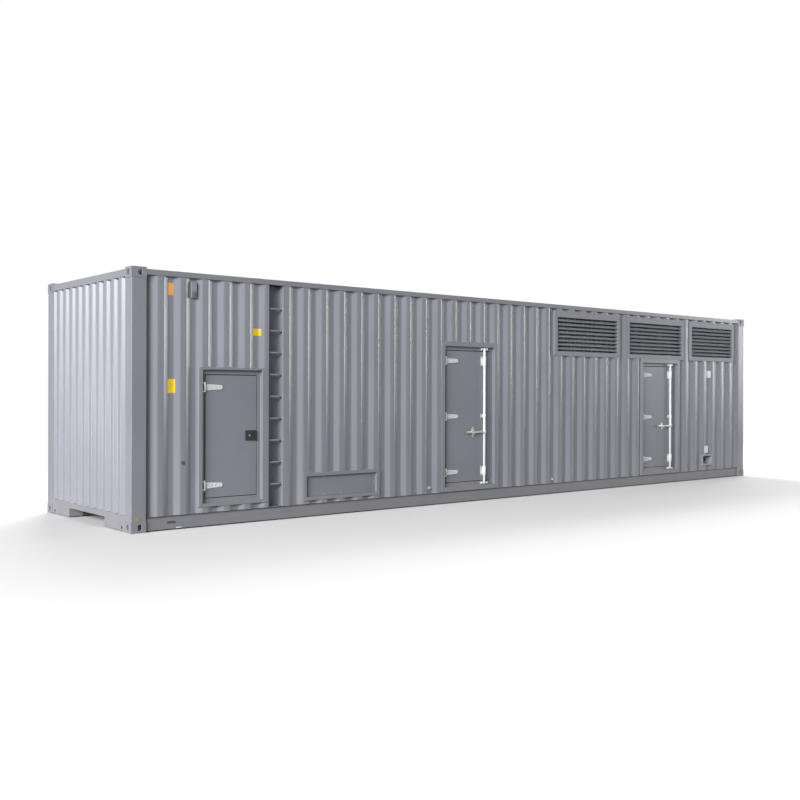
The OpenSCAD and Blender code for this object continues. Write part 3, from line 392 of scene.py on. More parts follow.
def fold_stations(span, fold, bend):
    """Places along a sheet: its ends, and seven across each bend."""
    pitch, flat, slope, _, first = fold
    turns = np.arange(math.floor((span[0] - first) / pitch) - 1, math.ceil((span[1] - first) / pitch) + 2)
    bends = np.array([0, flat, flat + slope, pitch - slope]) - flat / 2 + first
    places = (turns[:, None, None] * pitch + bends[:, None] + np.linspace(-bend, bend, 7)).ravel()
    margin = bend / 4
    inner = np.sort(places[(places > span[0] + margin) & (places < span[1] - margin)])
    return np.concatenate([span[:1], inner, span[1:]])


def wander(a, b, span_a, span_b):
    """Slow uneven bulge from a few sines of unlike lengths, fading to nothing at the edges of the sheet."""
    margin_a, margin_b, mean, swing = 0.06, 0.12, 0.5, 0.31
    broad = np.sin(2.3 * a + 1.7 * b) * np.sin(3.1 * b - 0.9 * a + 0.6)
    waves = broad + 0.6 * np.sin(7.3 * a - 2.2 * b + 1.1)
    fade_a = np.clip(np.minimum(a - span_a[0], span_a[1] - a) / margin_a, 0, 1)
    fade_b = np.clip(np.minimum(b - span_b[0], span_b[1] - b) / margin_b, 0, 1)
    return (mean + swing * waves) * fade_a * fade_b


def wall_depth(stations, rows, fold, spans, settings):
    """Depth of a wall's outer face behind the castings: inset, rounded fold and bulge."""
    folds = rounded_fold(stations, fold, settings.bend)[:, None]
    return settings.wall_inset + folds + settings.dent * wander(stations[:, None], rows[None, :], *spans)


def wall_rows(low, high):
    """Heights of the rows of points up a wall."""
    spacing, fewest = 0.09, 6
    return np.linspace(low, high, max(fewest, int((high - low) / spacing)))


def side_spans(box):
    """Stretch along the container from the tunnel end, and stretch in height, of a side sheet."""
    return np.array([box[0][0], box[1][0]]) - END_X, np.array([box[0][2], box[1][2]])


def side_grid(box, settings):
    """Outer face of a stretch of side wall, as a grid of points on the service side."""
    spans = side_spans(box)
    stations = fold_stations(spans[0], settings.side_fold, settings.bend)
    rows = wall_rows(*spans[1])
    depth = wall_depth(stations, rows, settings.side_fold, spans, settings)
    return grid_points(stations[:, None] + END_X, depth - HALF_WIDTH, rows)


def side_sheet(box, settings):
    """Stretch of side wall where a solid of the CAD wall stands, on its own side."""
    face = side_grid(box, settings)
    return on_own_side(shell(face, face + (0.0, settings.thickness, 0.0)), box, 1)


def end_grid(box, settings):
    """Outer face of an end wall, as a grid of points on the tunnel end."""
    spans = np.array([box[0][1], box[1][1]]), np.array([box[0][2], box[1][2]])
    stations = fold_stations(spans[0], settings.end_fold, settings.bend)
    rows = wall_rows(*spans[1])
    depth = wall_depth(stations, rows, settings.end_fold, spans, settings)
    return grid_points(END_X + depth, stations[:, None], rows)


def end_sheet(box, settings):
    """End wall where a solid of the CAD wall stands, on its own end."""
    face = end_grid(box, settings)
    return on_own_side(shell(face, face + (settings.thickness, 0.0, 0.0)), box, 0)


def roof_sheet(box, settings):
    """Roof with ribs across it: the fold along X, times a ramp that takes each rib down at its ends."""
    low, high = box
    pitch, flat, slope, rise, _ = settings.roof_fold
    room = high[0] - low[0] - 2 * settings.roof_edge - flat - 2 * slope
    reach = math.floor(room / pitch) * pitch / 2
    middle = (low[0] + high[0]) / 2
    fold = (pitch, flat, slope, rise, -reach)
    ends = np.array([low[0] - settings.roof_lap, high[0] + settings.roof_lap])
    stations = fold_stations(ends - middle, fold, settings.roof_bend)
    ribbed = np.abs(stations) < reach + pitch / 2
    inner = high[1] - settings.roof_margin
    ramps = inner - settings.roof_ramp * np.linspace(0, 1, 6)
    half = np.concatenate([[high[1]], ramps, np.linspace(ramps[-1], 0, 6)[1:]])
    rows = np.concatenate([-half[:-1], half[::-1]])
    share = np.clip((inner - np.abs(rows)) / settings.roof_ramp, 0, 1)
    smooth = share * share * (3 - 2 * share)
    lift = (ribbed * (rise - rounded_fold(stations, fold, settings.roof_bend)))[:, None] * smooth
    base = high[2] - rise
    face = grid_points(stations[:, None] + middle, rows, base + lift)
    return shell(face, face - (0.0, 0.0, settings.thickness))


def edge_seams(face, out, bead):
    """Weld beads along the foot and the top of a sheet."""
    return joined([weld_bead(face[:, 0], out, OUT["+z"], bead), weld_bead(face[:, -1], out, OUT["-z"], bead)])


# Finishes

# Coats of sprayed paint: roughness, height of the dust, chips, streaks and share of the dust
WHITE_COAT = (0.36, 0.35, 0.14, 0.1, 0.25)
STRAP_COAT = (0.36, 0.35, 0.1, 0.1, 0.25)
RAIL_COAT = (0.40, 0.7, 0.12, 0.15, 0.3)
UNDERFRAME_COAT = (0.6, 0.25, 0.35, 0.1, 0.5)

# Greys of the container: lightness against its own grey, then the coat
GREY_PAINTS = {
    "wall_paint": (1.0, 0.305, 0.9, 0.0, 0.03, 0.3),
    "roof_paint": (0.95, 0.68, 0.9, 0.0, 0.1, 0.3),
    "frame_paint": (0.96, 0.32, 0.7, 0.12, 0.15, 0.5),
    # the fuel box is painted lighter than the walls, as painted light inside its recess
    "box_paint": (1.35, 0.32, 0.3, 0.1, 0.1, 0.5),
    "top_rail_paint": (0.90, 0.36, 0.7, 0.12, 0.15, 0.5),
    "casting_paint": (0.92, 0.5, 0.5, 0.40, 0.2, 0.5),
    "door_paint": (0.94, 0.31, 0.6, 0.0, 0.1, 0.3),
    "louvre_paint": (0.95, 0.55, 0.3, 0.08, 0.25, 0.5),
    "weld_paint": (1.15, 0.36, 0.3, 0.25, 0.1, 0.3)}

# Lightness of the bottom rail, and the heights between which its top goes dark: grime, and a painted shadow
# under the wall's foot
RAIL_LIGHTNESS = 0.85
RAIL_GRIME_AND_SHADOW = (0.136, 0.156)

# Heights between which rods and brackets are plated
ROD_BAND = (0.944, 1.006)
BRACKET_BAND = (0.90, 1.05)

# Scale and detail of the clouds on metal, and how metallic bare metal is
METAL_CLOUD = (60.0, 5.0)
METALLIC = 0.85


def feed(tree, socket, value):
    """Links a socket to a socket, or sets its value."""
    if isinstance(value, bpy.types.NodeSocket):
        tree.links.new(value, socket)
    else:
        socket.default_value = value


def node(tree, kind, inputs=None, **settings):
    """Adds a shader node, sets its options, and sets or links each named or numbered input."""
    made = tree.nodes.new(kind)
    for key, value in settings.items():
        setattr(made, key, value)
    for key, value in (inputs or {}).items():
        feed(tree, made.inputs[key], value)
    return made


def calc(tree, operation, *operands, clamp=False):
    """One step of arithmetic."""
    inputs = dict(enumerate(operands))
    return node(tree, "ShaderNodeMath", inputs, operation=operation, use_clamp=clamp).outputs[0]


def mixed(tree, factor, a, b):
    """Colour a where the factor is 0, b where it is 1."""
    made = node(tree, "ShaderNodeMix", data_type="RGBA")
    for index, value in ((0, factor), (6, a), (7, b)):
        feed(tree, made.inputs[index], value)
    return made.outputs[2]


def blended(tree, factor, a, b):
    """Number a where the factor is 0, b where it is 1."""
    made = node(tree, "ShaderNodeMix", data_type="FLOAT")
    for index, value in ((0, factor), (2, a), (3, b)):
        feed(tree, made.inputs[index], value)
    return made.outputs[0]


def ramp(tree, value, low, high):
    """0 below low, 1 above high, straight between."""
    inputs = {"Value": value, "From Min": low, "From Max": high}
    return node(tree, "ShaderNodeMapRange", inputs).outputs["Result"]


def noise(tree, vector, scale, detail=3.0, stretch=None):
    """Cloudy noise, stretched along an axis if asked."""
    if stretch is not None:
        vector = node(tree, "ShaderNodeMapping", {"Vector": vector, "Scale": stretch}).outputs["Vector"]
    inputs = {"Vector": vector, "Scale": scale, "Detail": detail}
    return node(tree, "ShaderNodeTexNoise", inputs).outputs["Fac"]


def along_axis(tree, vector, axis):
    """X, Y or Z of the shaded point."""
    return node(tree, "ShaderNodeSeparateXYZ", {"Vector": vector}).outputs[axis]


def tint(shade, factor=1.0):
    """A colour made lighter or darker, with full alpha."""
    return tuple(min(1.0, channel * factor) for channel in shade) + (1.0,)


def new_group(name, inputs, outputs):
    """Empty shader node group; each socket is a name and f for a number or v for a vector."""
    group = bpy.data.node_groups.new(name, "ShaderNodeTree")
    kinds = {"f": "NodeSocketFloat", "v": "NodeSocketVector"}
    for label, kind in inputs:
        group.interface.new_socket(label, in_out="INPUT", socket_type=kinds[kind])
    for label, kind in outputs:
        group.interface.new_socket(label, in_out="OUTPUT", socket_type=kinds[kind])
    return group, group.nodes.new("NodeGroupInput").outputs, group.nodes.new("NodeGroupOutput").inputs


def weather_group():
    """Dust that thickens towards the ground, rain streaks that run down, and broad fading, as masks."""
    group, given, out = new_group(
        "Weather", [("Vector", "v"), ("Dust Height", "f")], [("Dust", "f"), ("Streak", "f"), ("Fade", "f")])
    vector, run_down = given["Vector"], (16.0, 16.0, 0.5)
    share = calc(group, "DIVIDE", along_axis(group, vector, "Z"), given["Dust Height"])
    near_ground = calc(group, "SUBTRACT", 1.0, share, clamp=True)
    speckle = ramp(group, noise(group, vector, 4.0, 3.0), 0.15, 0.85)
    dust = calc(group, "MULTIPLY", calc(group, "POWER", near_ground, 2.0), speckle, clamp=True)
    streak = ramp(group, noise(group, vector, 1.0, 4.0, run_down), 0.52, 0.8)
    group.links.new(dust, out["Dust"])
    group.links.new(streak, out["Streak"])
    group.links.new(noise(group, vector, 0.9, 2.0), out["Fade"])


def skin_group():
    """Fine surface of sprayed paint: a soft orange-peel height and a roughness that varies a little."""
    group, given, out = new_group(
        "Sprayed Skin", [("Vector", "v"), ("Roughness", "f")], [("Height", "f"), ("Roughness", "f")])
    mean, spread, peel_scale = 0.5, 0.04, 420.0
    cloud = noise(group, given["Vector"], 14.0, 4.0)
    change = calc(group, "MULTIPLY", calc(group, "SUBTRACT", cloud, mean), spread)
    group.links.new(noise(group, given["Vector"], peel_scale, 2.0), out["Height"])
    group.links.new(calc(group, "ADD", given["Roughness"], change, clamp=True), out["Roughness"])


def chip_group():
    """Small scattered chips: sharp spots of a fine noise inside patches of a broad one, with a rusty halo."""
    group, given, out = new_group("Chips", [("Vector", "v"), ("Amount", "f")], [("Chip", "f"), ("Halo", "f")])
    sparse, reach, patch_lift, onset, edge, halo = 0.90, 0.35, 0.12, 10.0, 0.02, 0.06
    patch = ramp(group, noise(group, given["Vector"], 5.0, 2.0), 0.5, 0.7)
    fine = noise(group, given["Vector"], 70.0, 5.0)
    level = calc(group, "SUBTRACT", sparse, calc(group, "MULTIPLY", given["Amount"], reach))
    above = calc(group, "SUBTRACT", calc(group, "MULTIPLY_ADD", patch, patch_lift, fine), level)
    present = calc(group, "MULTIPLY", given["Amount"], onset, clamp=True)
    for start, label in ((0.0, "Chip"), (-halo, "Halo")):
        group.links.new(calc(group, "MULTIPLY", ramp(group, above, start, edge), present), out[label])


class Finish:
    """A material with Object coordinates at hand and its Principled BSDF ready to be fed."""

    def __init__(self, name):
        self.material = bpy.data.materials.new(name)
        self.material.use_nodes = True
        self.tree = self.material.node_tree
        self.shader = self.tree.nodes["Principled BSDF"]
        self.place = self.tree.nodes.new("ShaderNodeTexCoord").outputs["Object"]

    def set(self, **values):
        """Sets or links inputs of the shader, with _ for a space."""
        for label, value in values.items():
            feed(self.tree, self.shader.inputs[label.replace("_", " ")], value)

    def group(self, name, **inputs):
        """Places a node group on the Object coordinates and sets its inputs."""
        made = node(self.tree, "ShaderNodeGroup", node_tree=bpy.data.node_groups[name])
        self.tree.links.new(self.place, made.inputs["Vector"])
        for label, value in inputs.items():
            made.inputs[label.replace("_", " ")].default_value = value
        return made.outputs

    def bump(self, height, strength, distance):
        """Feeds the shader's normal from a height."""
        inputs = {"Height": height, "Strength": strength, "Distance": distance}
        self.set(Normal=node(self.tree, "ShaderNodeBump", inputs).outputs["Normal"])


def paint_coat(finish, shade, roughness, dust_height, chips, streaks, dust_share):
    """Colour and roughness of sprayed paint: faded in clouds, rain-streaked, dusty below, chipped to rust."""
    paint = bpy.context.scene.container_paint
    tree = finish.tree
    faded, bleached, streaked, halo, bare = 0.88, 1.13, 0.62, 0.45, 0.5
    peel, peel_depth, dusty = 0.06, 0.0006, 0.85
    weather = finish.group("Weather", Dust_Height=dust_height)
    skin = finish.group("Sprayed Skin", Roughness=roughness)
    chip = finish.group("Chips", Amount=chips)
    coat = mixed(tree, weather["Fade"], tint(shade, faded), tint(shade, bleached))
    coat = mixed(tree, calc(tree, "MULTIPLY", weather["Streak"], streaks), coat, tint(shade, streaked))
    coat = mixed(tree, calc(tree, "MULTIPLY", weather["Dust"], dust_share), coat, tint(paint.dust))
    coat = mixed(tree, calc(tree, "MULTIPLY", chip["Halo"], halo), coat, tint(paint.rust))
    coat = mixed(tree, chip["Chip"], coat, tint(paint.rust, bare))
    finish.bump(skin["Height"], peel, peel_depth)
    return coat, blended(tree, weather["Dust"], skin["Roughness"], dusty)


def painted(name, shade, *coating):
    """Sprayed paint, with the values of its coat in their order."""
    finish = Finish(name)
    coat, rough = paint_coat(finish, shade, *coating)
    finish.set(Base_Color=coat, Roughness=rough)


def grimed_and_shaded(name, shade, low, high, *coating):
    """Sprayed paint that goes dark between two heights and stays so above: grime, and a painted shadow under
    what overhangs it.
    """
    finish = Finish(name)
    tree = finish.tree
    cover, darkened = 0.8, 0.2
    coat, rough = paint_coat(finish, shade, *coating)
    # dark band: painted shadow under the overhang above, and grime
    line = calc(tree, "MULTIPLY", ramp(tree, along_axis(tree, finish.place, "Z"), low, high), cover)
    finish.set(Base_Color=mixed(tree, line, coat, tint(shade, darkened)), Roughness=rough)


def painted_and_plated(name, low, high):
    """White paint, with a plated band between two heights, where the handle or its catch sits."""
    paint = bpy.context.scene.container_paint
    finish = Finish(name)
    tree = finish.tree
    worn, plate_metallic, plate_rough = 0.7, 0.5, 0.42
    coat, rough = paint_coat(finish, paint.white, *WHITE_COAT)
    height = along_axis(tree, finish.place, "Z")
    above, below = calc(tree, "GREATER_THAN", height, low), calc(tree, "LESS_THAN", height, high)
    band = calc(tree, "MULTIPLY", above, below)
    cloud = noise(tree, finish.place, *METAL_CLOUD)
    plate = mixed(tree, cloud, tint(paint.zinc, worn), tint(paint.zinc))
    finish.set(
        Base_Color=mixed(tree, band, coat, plate), Metallic=calc(tree, "MULTIPLY", band, plate_metallic),
        Roughness=blended(tree, band, rough, plate_rough))


def metal(name, shade, roughness):
    """Bare or plated metal with cloudy roughness and fine scratches."""
    finish = Finish(name)
    tree = finish.tree
    cloud = noise(tree, finish.place, *METAL_CLOUD)
    spread, worn, scratch_scale, scratch, scratch_depth = 0.3, 0.75, 700.0, 0.1, 0.0004
    rough = calc(tree, "MULTIPLY_ADD", cloud, spread, roughness - spread / 2)
    coat = mixed(tree, cloud, tint(shade, worn), tint(shade))
    finish.set(Base_Color=coat, Roughness=rough, Metallic=METALLIC)
    finish.bump(noise(tree, finish.place, scratch_scale, 2.0), scratch, scratch_depth)


def stud_metals(name):
    """Brass on the post at the tunnel end, dull steel further along."""
    paint = bpy.context.scene.container_paint
    finish = Finish(name)
    tree = finish.tree
    along = along_axis(tree, finish.place, "X")
    post_reach, dull, spread, smoothest = 0.2, 0.25, 0.2, 0.34
    further = calc(tree, "GREATER_THAN", along, END_X + post_reach)
    cloud = noise(tree, finish.place, *METAL_CLOUD)
    shade = mixed(tree, further, tint(paint.brass), tint(paint.zinc, dull))
    rough = calc(tree, "MULTIPLY_ADD", cloud, spread, smoothest)
    finish.set(Base_Color=shade, Metallic=METALLIC, Roughness=rough)


def grained(name, shade, roughness, grain, bump):
    """Moulded, rubber or printed surface with a fine grain and a cloudy shade."""
    finish = Finish(name)
    tree = finish.tree
    spread, dark, light, depth = 0.2, 0.82, 1.12, 0.0005
    cloud = noise(tree, finish.place, 25.0, 4.0)
    rough = calc(tree, "MULTIPLY_ADD", cloud, spread, roughness - spread / 2)
    finish.set(Base_Color=mixed(tree, cloud, tint(shade, dark), tint(shade, light)), Roughness=rough)
    finish.bump(noise(tree, finish.place, grain, 3.0), bump, depth)


def boards(name):
    """Plywood floor: sheets along the container with dark joints and a grain that runs along them."""
    finish = Finish(name)
    tree = finish.tree
    board_length, joint_share, run_along = 1.22, 0.004, (3.0, 40.0, 1.0)
    dark, light, gap = (0.16, 0.09, 0.05), (0.34, 0.22, 0.13), (0.02, 0.015, 0.01)
    grain = noise(tree, finish.place, 2.0, 6.0, run_along)
    along = calc(tree, "DIVIDE", along_axis(tree, finish.place, "X"), board_length)
    joint = calc(tree, "LESS_THAN", calc(tree, "FRACT", along), joint_share)
    wood = mixed(tree, grain, tint(dark), tint(light))
    finish.set(Base_Color=mixed(tree, joint, wood, tint(gap)), Roughness=blended(tree, grain, 0.5, 0.7))
    finish.bump(grain, 0.25, 0.0008)


def build_finishes():
    """Node groups first, then each finish once."""
    paint = bpy.context.scene.container_paint
    weather_group()
    skin_group()
    chip_group()
    for name, (lightness, *coating) in GREY_PAINTS.items():
        painted(name, tint(paint.grey, lightness)[:3], *coating)
    # the top of the bottom rail goes dark: painted shadow under the overhanging wall foot, and grime
    grimed_and_shaded("bottom_rail_paint", tint(paint.grey, RAIL_LIGHTNESS)[:3], *RAIL_GRIME_AND_SHADOW, *RAIL_COAT)
    painted("underframe_paint", tuple(paint.under), *UNDERFRAME_COAT)
    painted("fitting_paint", tuple(paint.white), *WHITE_COAT)
    painted("strap_paint", tuple(paint.strap), *STRAP_COAT)
    painted_and_plated("rod_finish", *ROD_BAND)
    painted_and_plated("bracket_finish", *BRACKET_BAND)
    metal("bolt_steel", (0.56, 0.57, 0.58), 0.44)
    metal("zinc_plate", tuple(paint.zinc), 0.45)
    stud_metals("stud_finish")
    grained("latch_black", (0.018, 0.018, 0.02), 0.42, 900.0, 0.15)
    grained("seal_rubber", (0.02, 0.02, 0.021), 0.75, 500.0, 0.2)
    # near-black finish of the louvre linings and ventilator fields: painted shade in their openings
    grained("painted_shade_black", (0.010, 0.010, 0.011), 0.85, 1400.0, 0.4)
    grained("plate_yellow", tuple(paint.yellow), 0.45, 300.0, 0.05)
    grained("plate_orange", tuple(paint.orange), 0.45, 300.0, 0.05)
    grained("plate_pale", (0.74, 0.75, 0.75), 0.4, 300.0, 0.05)
    boards("floor_boards")


# CAD nodes that stay in view, by their finish and the width of their rounded edges
NODE_FINISH = {
    ("casting_paint", 0.004): ("bottom_corner_castings", "top_corner_castings"),
    ("frame_paint", 0.006): ("corner_posts",),
    ("frame_paint", 0.005): ("door_jambs", "door_heads_and_sills"),
    ("frame_paint", 0.0025): ("front_sill", "rear_sill"),
    ("frame_paint", 0.0015): ("end_headers", "cable_hatch_frame"),
    ("top_rail_paint", 0.004): ("top_side_rails",),
    ("bottom_rail_paint", 0.0015): ("bottom_side_rails",),
    ("underframe_paint", 0.0): ("cross_members",),
    ("underframe_paint", 0.002): ("gooseneck_tunnel", "fuel_inlet"),
    ("floor_boards", 0.0): ("floor_deck",),
    ("louvre_paint", 0.0): ("louvres",),
    ("fitting_paint", 0.0015): ("hinge_brackets", "rod_keepers"),
    ("door_paint", 0.0012): ("control_door", "front_service_door", "rear_service_door", "back_doors"),
    ("door_paint", 0.001): ("cable_hatch_cover",),
    ("strap_paint", 0.0015): ("control_door_straps", "front_door_straps", "rear_door_straps"),
    ("bracket_finish", 0.0012): ("front_rod_brackets", "rear_rod_brackets"),
    ("rod_finish", 0.0012): ("front_lock_rod", "rear_lock_rod", "back_door_fittings"),
    ("latch_black", 0.002): ("latch_housing",),
    ("latch_black", 0.0012): ("latch_paddle",),
    ("wall_paint", 0.0): ("ladder_recess",),
    ("wall_paint", 0.001): ("ladder_rungs",),
    ("wall_paint", 0.002): ("ventilators",),
    ("box_paint", 0.001): ("fuel_box",),
    ("stud_finish", 0.001): ("earthing_studs",)}

# Distance within which a node's loose points are joined, and the angle from which its edges are rounded
JOIN_DISTANCE = 0.00002
EDGE_ANGLE = math.radians(35)

# Bare plates on the side wall: finish, then start and end along the container, then foot and top
WALL_PLATES = {
    "orange_plate": ("plate_orange", 0.455, 0.521, 2.612, 2.749),
    "yellow_plate": ("plate_yellow", 0.448, 0.540, 1.523, 1.677),
    "yellow_plate_over_door": ("plate_yellow", 1.540, 1.664, 2.204, 2.284),
    "pale_plate_by_fuel_box": ("plate_pale", 10.915, 11.035, 0.470, 0.594),
    "pale_plate_by_rear_door": ("plate_pale", 11.030, 11.132, 1.809, 1.929)}

# Plates that stay flat across the folds, and how far all of them stand off the wall
STIFF_PLATES = ("pale_plate_by_fuel_box",)
PLATE_LIFT = 0.0008

# Tag on the bottom rail: start and end along the container, then foot and top
RAIL_TAG = (0.549, 0.623, 0.018, 0.030)

# Drain plugs low on the service side: places along the container and heights
DRAIN_PLUGS = ((4.363, 0.232), (6.874, 0.216))

# Height of the lock handles
HANDLE_HEIGHT = 0.975


def strap_ridge(box, sizes):
    """Pressed ridge on a strap: along its upper edge, round its tip and back along its lower edge."""
    low, high = box
    pin = low[0] + sizes.knuckle
    face = high[1] - sizes.strap_plate
    middle = (low[2] + high[2]) / 2
    tip_radius, tip_inset = 0.014, 0.027
    half_width, height = 0.0045, 0.0035
    turn = np.linspace(math.pi / 2, -math.pi / 2, 9)
    tip = np.stack([high[0] - tip_inset + tip_radius * np.cos(turn), tip_radius * np.sin(turn)], axis=-1)
    root = np.array([[pin + 0.035, 0.0255], [pin + 0.090, 0.0220]])
    line = np.concatenate([root, tip, root[::-1] * [1, -1]])
    return ridge(grid_points(line[:, 0], face, middle + line[:, 1]), OUT["-y"], half_width, height)


def strap_rivets(box, sizes):
    """Places of the rivets along the middle of a strap."""
    low, high = box
    along = low[0] + sizes.knuckle + np.array([0.085, 0.135, 0.185])
    return grid_points(along, high[1] - sizes.strap_plate, (low[2] + high[2]) / 2)


def bracket_bolts(box, sizes):
    """Places of the bolts on a bracket or a catch: at its corners, at its sides, or above and below."""
    low, high = box
    half_x, half_z = (high[0] - low[0]) / 2, (high[2] - low[2]) / 2
    narrow, from_side, from_top = 0.03, 0.010, 0.016
    across = [0.0] if half_x < narrow else [from_side - half_x, half_x - from_side]
    up = [0.0] if half_z < narrow else [from_top - half_z, half_z - from_top]
    middle = (low + high) / 2
    face = high[1] - sizes.bracket_plate
    return np.array([[middle[0] + a, face, middle[2] + u] for a in across for u in up])


def rivet_head(radius):
    """Low dome."""
    return turned([(radius, 0), (0.94 * radius, 0.26 * radius), (0.66 * radius, 0.5 * radius),
                   (0.2 * radius, 0.6 * radius)], 12)


def bolt_head(radius):
    """Hexagon head with a drawn-in top, on a round washer."""
    washer = turned([(1.4 * radius, 0), (1.4 * radius, 0.16 * radius), (1.3 * radius, 0.24 * radius)], 14)
    head = turned([(radius, 0.2 * radius), (radius, 0.72 * radius), (0.8 * radius, 0.9 * radius)], 6)
    return joined([washer, head])


# Operators


class CONTAINER_OT_finishes(bpy.types.Operator):
    """Builds the finishes and lays them on the CAD nodes, with rounded edges"""
    bl_idname = "container.finishes"
    bl_label = "Finishes"

    def execute(self, context):
        build_finishes()
        for (finish, bevel), names in NODE_FINISH.items():
            for name in names:
                self.dress(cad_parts[name], bpy.data.materials[finish], bevel)
        return {"FINISHED"}

    def dress(self, piece, material, bevel):
        """Lays a material on a node, joins its loose triangles and rounds its edges."""
        piece.data.materials.clear()
        piece.data.materials.append(material)
        piece.modifiers.new("Join", "WELD").merge_threshold = JOIN_DISTANCE
        if bevel > 0:
            edge = piece.modifiers.new("Edges", "BEVEL")
            edge.width = bevel
            edge.segments = 2
            edge.limit_method = "ANGLE"
            edge.angle_limit = EDGE_ANGLE
            edge.harden_normals = True


class CONTAINER_OT_sheets(bpy.types.Operator):
    """Makes the folded sheets of the walls and the roof in place of the plain solids"""
    bl_idname = "container.sheets"
    bl_label = "Folded Sheets"

    def execute(self, context):
        settings = context.scene.container_sheets
        makers = dict.fromkeys(SHEET_NODES, side_sheet)
        makers.update(end_walls=end_sheet, roof_sheet=roof_sheet)
        for name, maker in makers.items():
            part = joined([maker(box, settings) for box in solid_boxes(name)])
            finish = "roof_paint" if maker is roof_sheet else "wall_paint"
            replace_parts(add_piece(f"{name}_folded", part, finish), name)
        add_piece("wall_foot_strips", self.foot_strips(settings), "wall_paint")
        return {"FINISHED"}

    def foot_strips(self, settings):
        """Strips that close the folds on the rail: flat, from within the sheet in to the floor's edge."""
        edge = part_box("floor_deck")[0][1]
        rail_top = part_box("bottom_side_rails")[1][2]
        strips = []
        for box in sheet_boxes(solid_boxes):
            if box[0][2] > rail_top + settings.thickness:
                continue
            outer = side_grid(box, settings)[:, 0] + (0.0, settings.thickness / 2, 0.0)
            lower = np.stack([outer, grid_points(outer[:, 0], edge, outer[:, 2])], axis=1)
            strips.append(on_own_side(shell(lower + (0.0, 0.0, settings.thickness), lower), box, 1))
        return joined(strips)


class CONTAINER_OT_welds(bpy.types.Operator):
    """Lays weld beads along the feet and tops of the sheets, up the posts and round the castings"""
    bl_idname = "container.welds"
    bl_label = "Weld Beads"

    def execute(self, context):
        settings = context.scene.container_sheets
        bead, corner_share = settings.bead, 0.8
        seams = [on_own_side(edge_seams(side_grid(box, settings), OUT["-y"], bead), box, 1)
                 for box in sheet_boxes(solid_boxes)]
        add_piece("side_wall_welds", joined(seams), "weld_paint")
        seams = edge_seams(end_grid(solid_boxes("end_walls")[0], settings), OUT["-x"], bead)
        add_piece("end_wall_welds", joined([seams, mirrored(seams, 0)]), "weld_paint")
        add_piece("corner_welds", on_four_corners(self.corner_beads(bead * corner_share)), "weld_paint")
        return {"FINISHED"}

    def corner_beads(self, bead):
        """Beads of one corner: round the post at both castings, and where each rail meets its casting."""
        low, high = solid_boxes("corner_posts")[0]
        parts = []
        for z, up in ((low[2], OUT["+z"]), (high[2], OUT["-z"])):
            corner = (low[0], low[1], z)
            parts.append(weld_bead(straight(corner, (high[0], low[1], z)), OUT["-y"], up, bead))
            parts.append(weld_bead(straight(corner, (low[0], high[1], z)), OUT["-x"], up, bead))
        for rail, casting in (("bottom_side_rails", "bottom_corner_castings"),
                              ("top_side_rails", "top_corner_castings")):
            rail_low, rail_high = solid_boxes(rail)[0]
            casting_low, casting_high = solid_boxes(casting)[0]
            foot = (rail_low[0], rail_low[1], max(rail_low[2], casting_low[2]))
            top = (rail_low[0], rail_low[1], min(rail_high[2], casting_high[2]))
            parts.append(weld_bead(straight(foot, top), OUT["-y"], OUT["+x"], bead))
        return joined(parts)


class CONTAINER_OT_louvre_screens(bpy.types.Operator):
    """Stretches a wire screen behind each louvre, and a near-black pleated lining behind it as painted shade"""
    bl_idname = "container.louvre_screens"
    bl_label = "Louvre Screens"

    def execute(self, context):
        sizes = context.scene.container_fittings
        boxes = service_boxes("louvres")
        lining = joined([self.lining(box, sizes) for box in boxes])
        wires = joined([self.wires(box, sizes) for box in boxes])
        # near-black lining: a dark sheet that stands in for the shade behind the louvres
        add_piece("louvre_shade_linings", on_both_sides(lining), "painted_shade_black")
        add_piece("louvre_wires", on_both_sides(wires), "zinc_plate")
        return {"FINISHED"}

    def opening(self, box, sizes):
        """Start, end, foot and top of the opening of a louvre, and the back of its frame."""
        low, high = box
        return (low[0] + sizes.louvre_side, high[0] - sizes.louvre_side,
                low[2] + sizes.louvre_foot, high[2] - sizes.louvre_head, high[1])

    def lining(self, box, sizes):
        """Near-black pan behind the opening, as painted shade: its rim lies on the frame, its floor is set back
        and pleated across.
        """
        x0, x1, z0, z1, back = self.opening(box, sizes)
        gap, pan_depth, pleat, cloth = 0.0045, 0.030, 0.006, 0.0015
        x, z = self.stations(x0, x1, 12), self.stations(z0, z1, 40)
        inside = ((x > x0) & (x < x1))[:, None] * ((z > z0) & (z < z1))
        depth = gap + inside * (pan_depth + pleat * (np.arange(len(z)) % 2))
        face = grid_points(x[:, None], back + depth, z)
        return shell(face, face + (0.0, cloth, 0.0))

    def stations(self, start, end, count):
        """Two places on the rim before an opening, an even row across it, and two on the rim after it."""
        rim, lip, slope = 0.030, 0.004, 0.02
        row = np.linspace(start + slope, end - slope, count)
        return np.concatenate([[start - rim, start - lip], row, [end + lip, end + rim]])

    def wires(self, box, sizes):
        """Welded wires: upright ones, and level ones just behind them, on the back of the frame."""
        x0, x1, z0, z1, back = self.opening(box, sizes)
        half = sizes.screen_wire / 2
        uprights = np.arange(x0, x1, sizes.screen_pitch) + sizes.screen_pitch / 2
        levels = np.arange(z0, z1, sizes.screen_pitch) + sizes.screen_pitch / 2
        reach = 0.012
        upright = turned([(half, z0 - reach), (half, z1 + reach)], 6)
        level = turned([(half, -reach), (half, x1 - x0 + reach)], 6)
        first = grid_points(uprights, back + half, 0.0)
        second = grid_points(x0, back + 3 * half, levels)
        return joined([copies(upright, OUT["+z"], first), copies(level, OUT["+x"], second)])


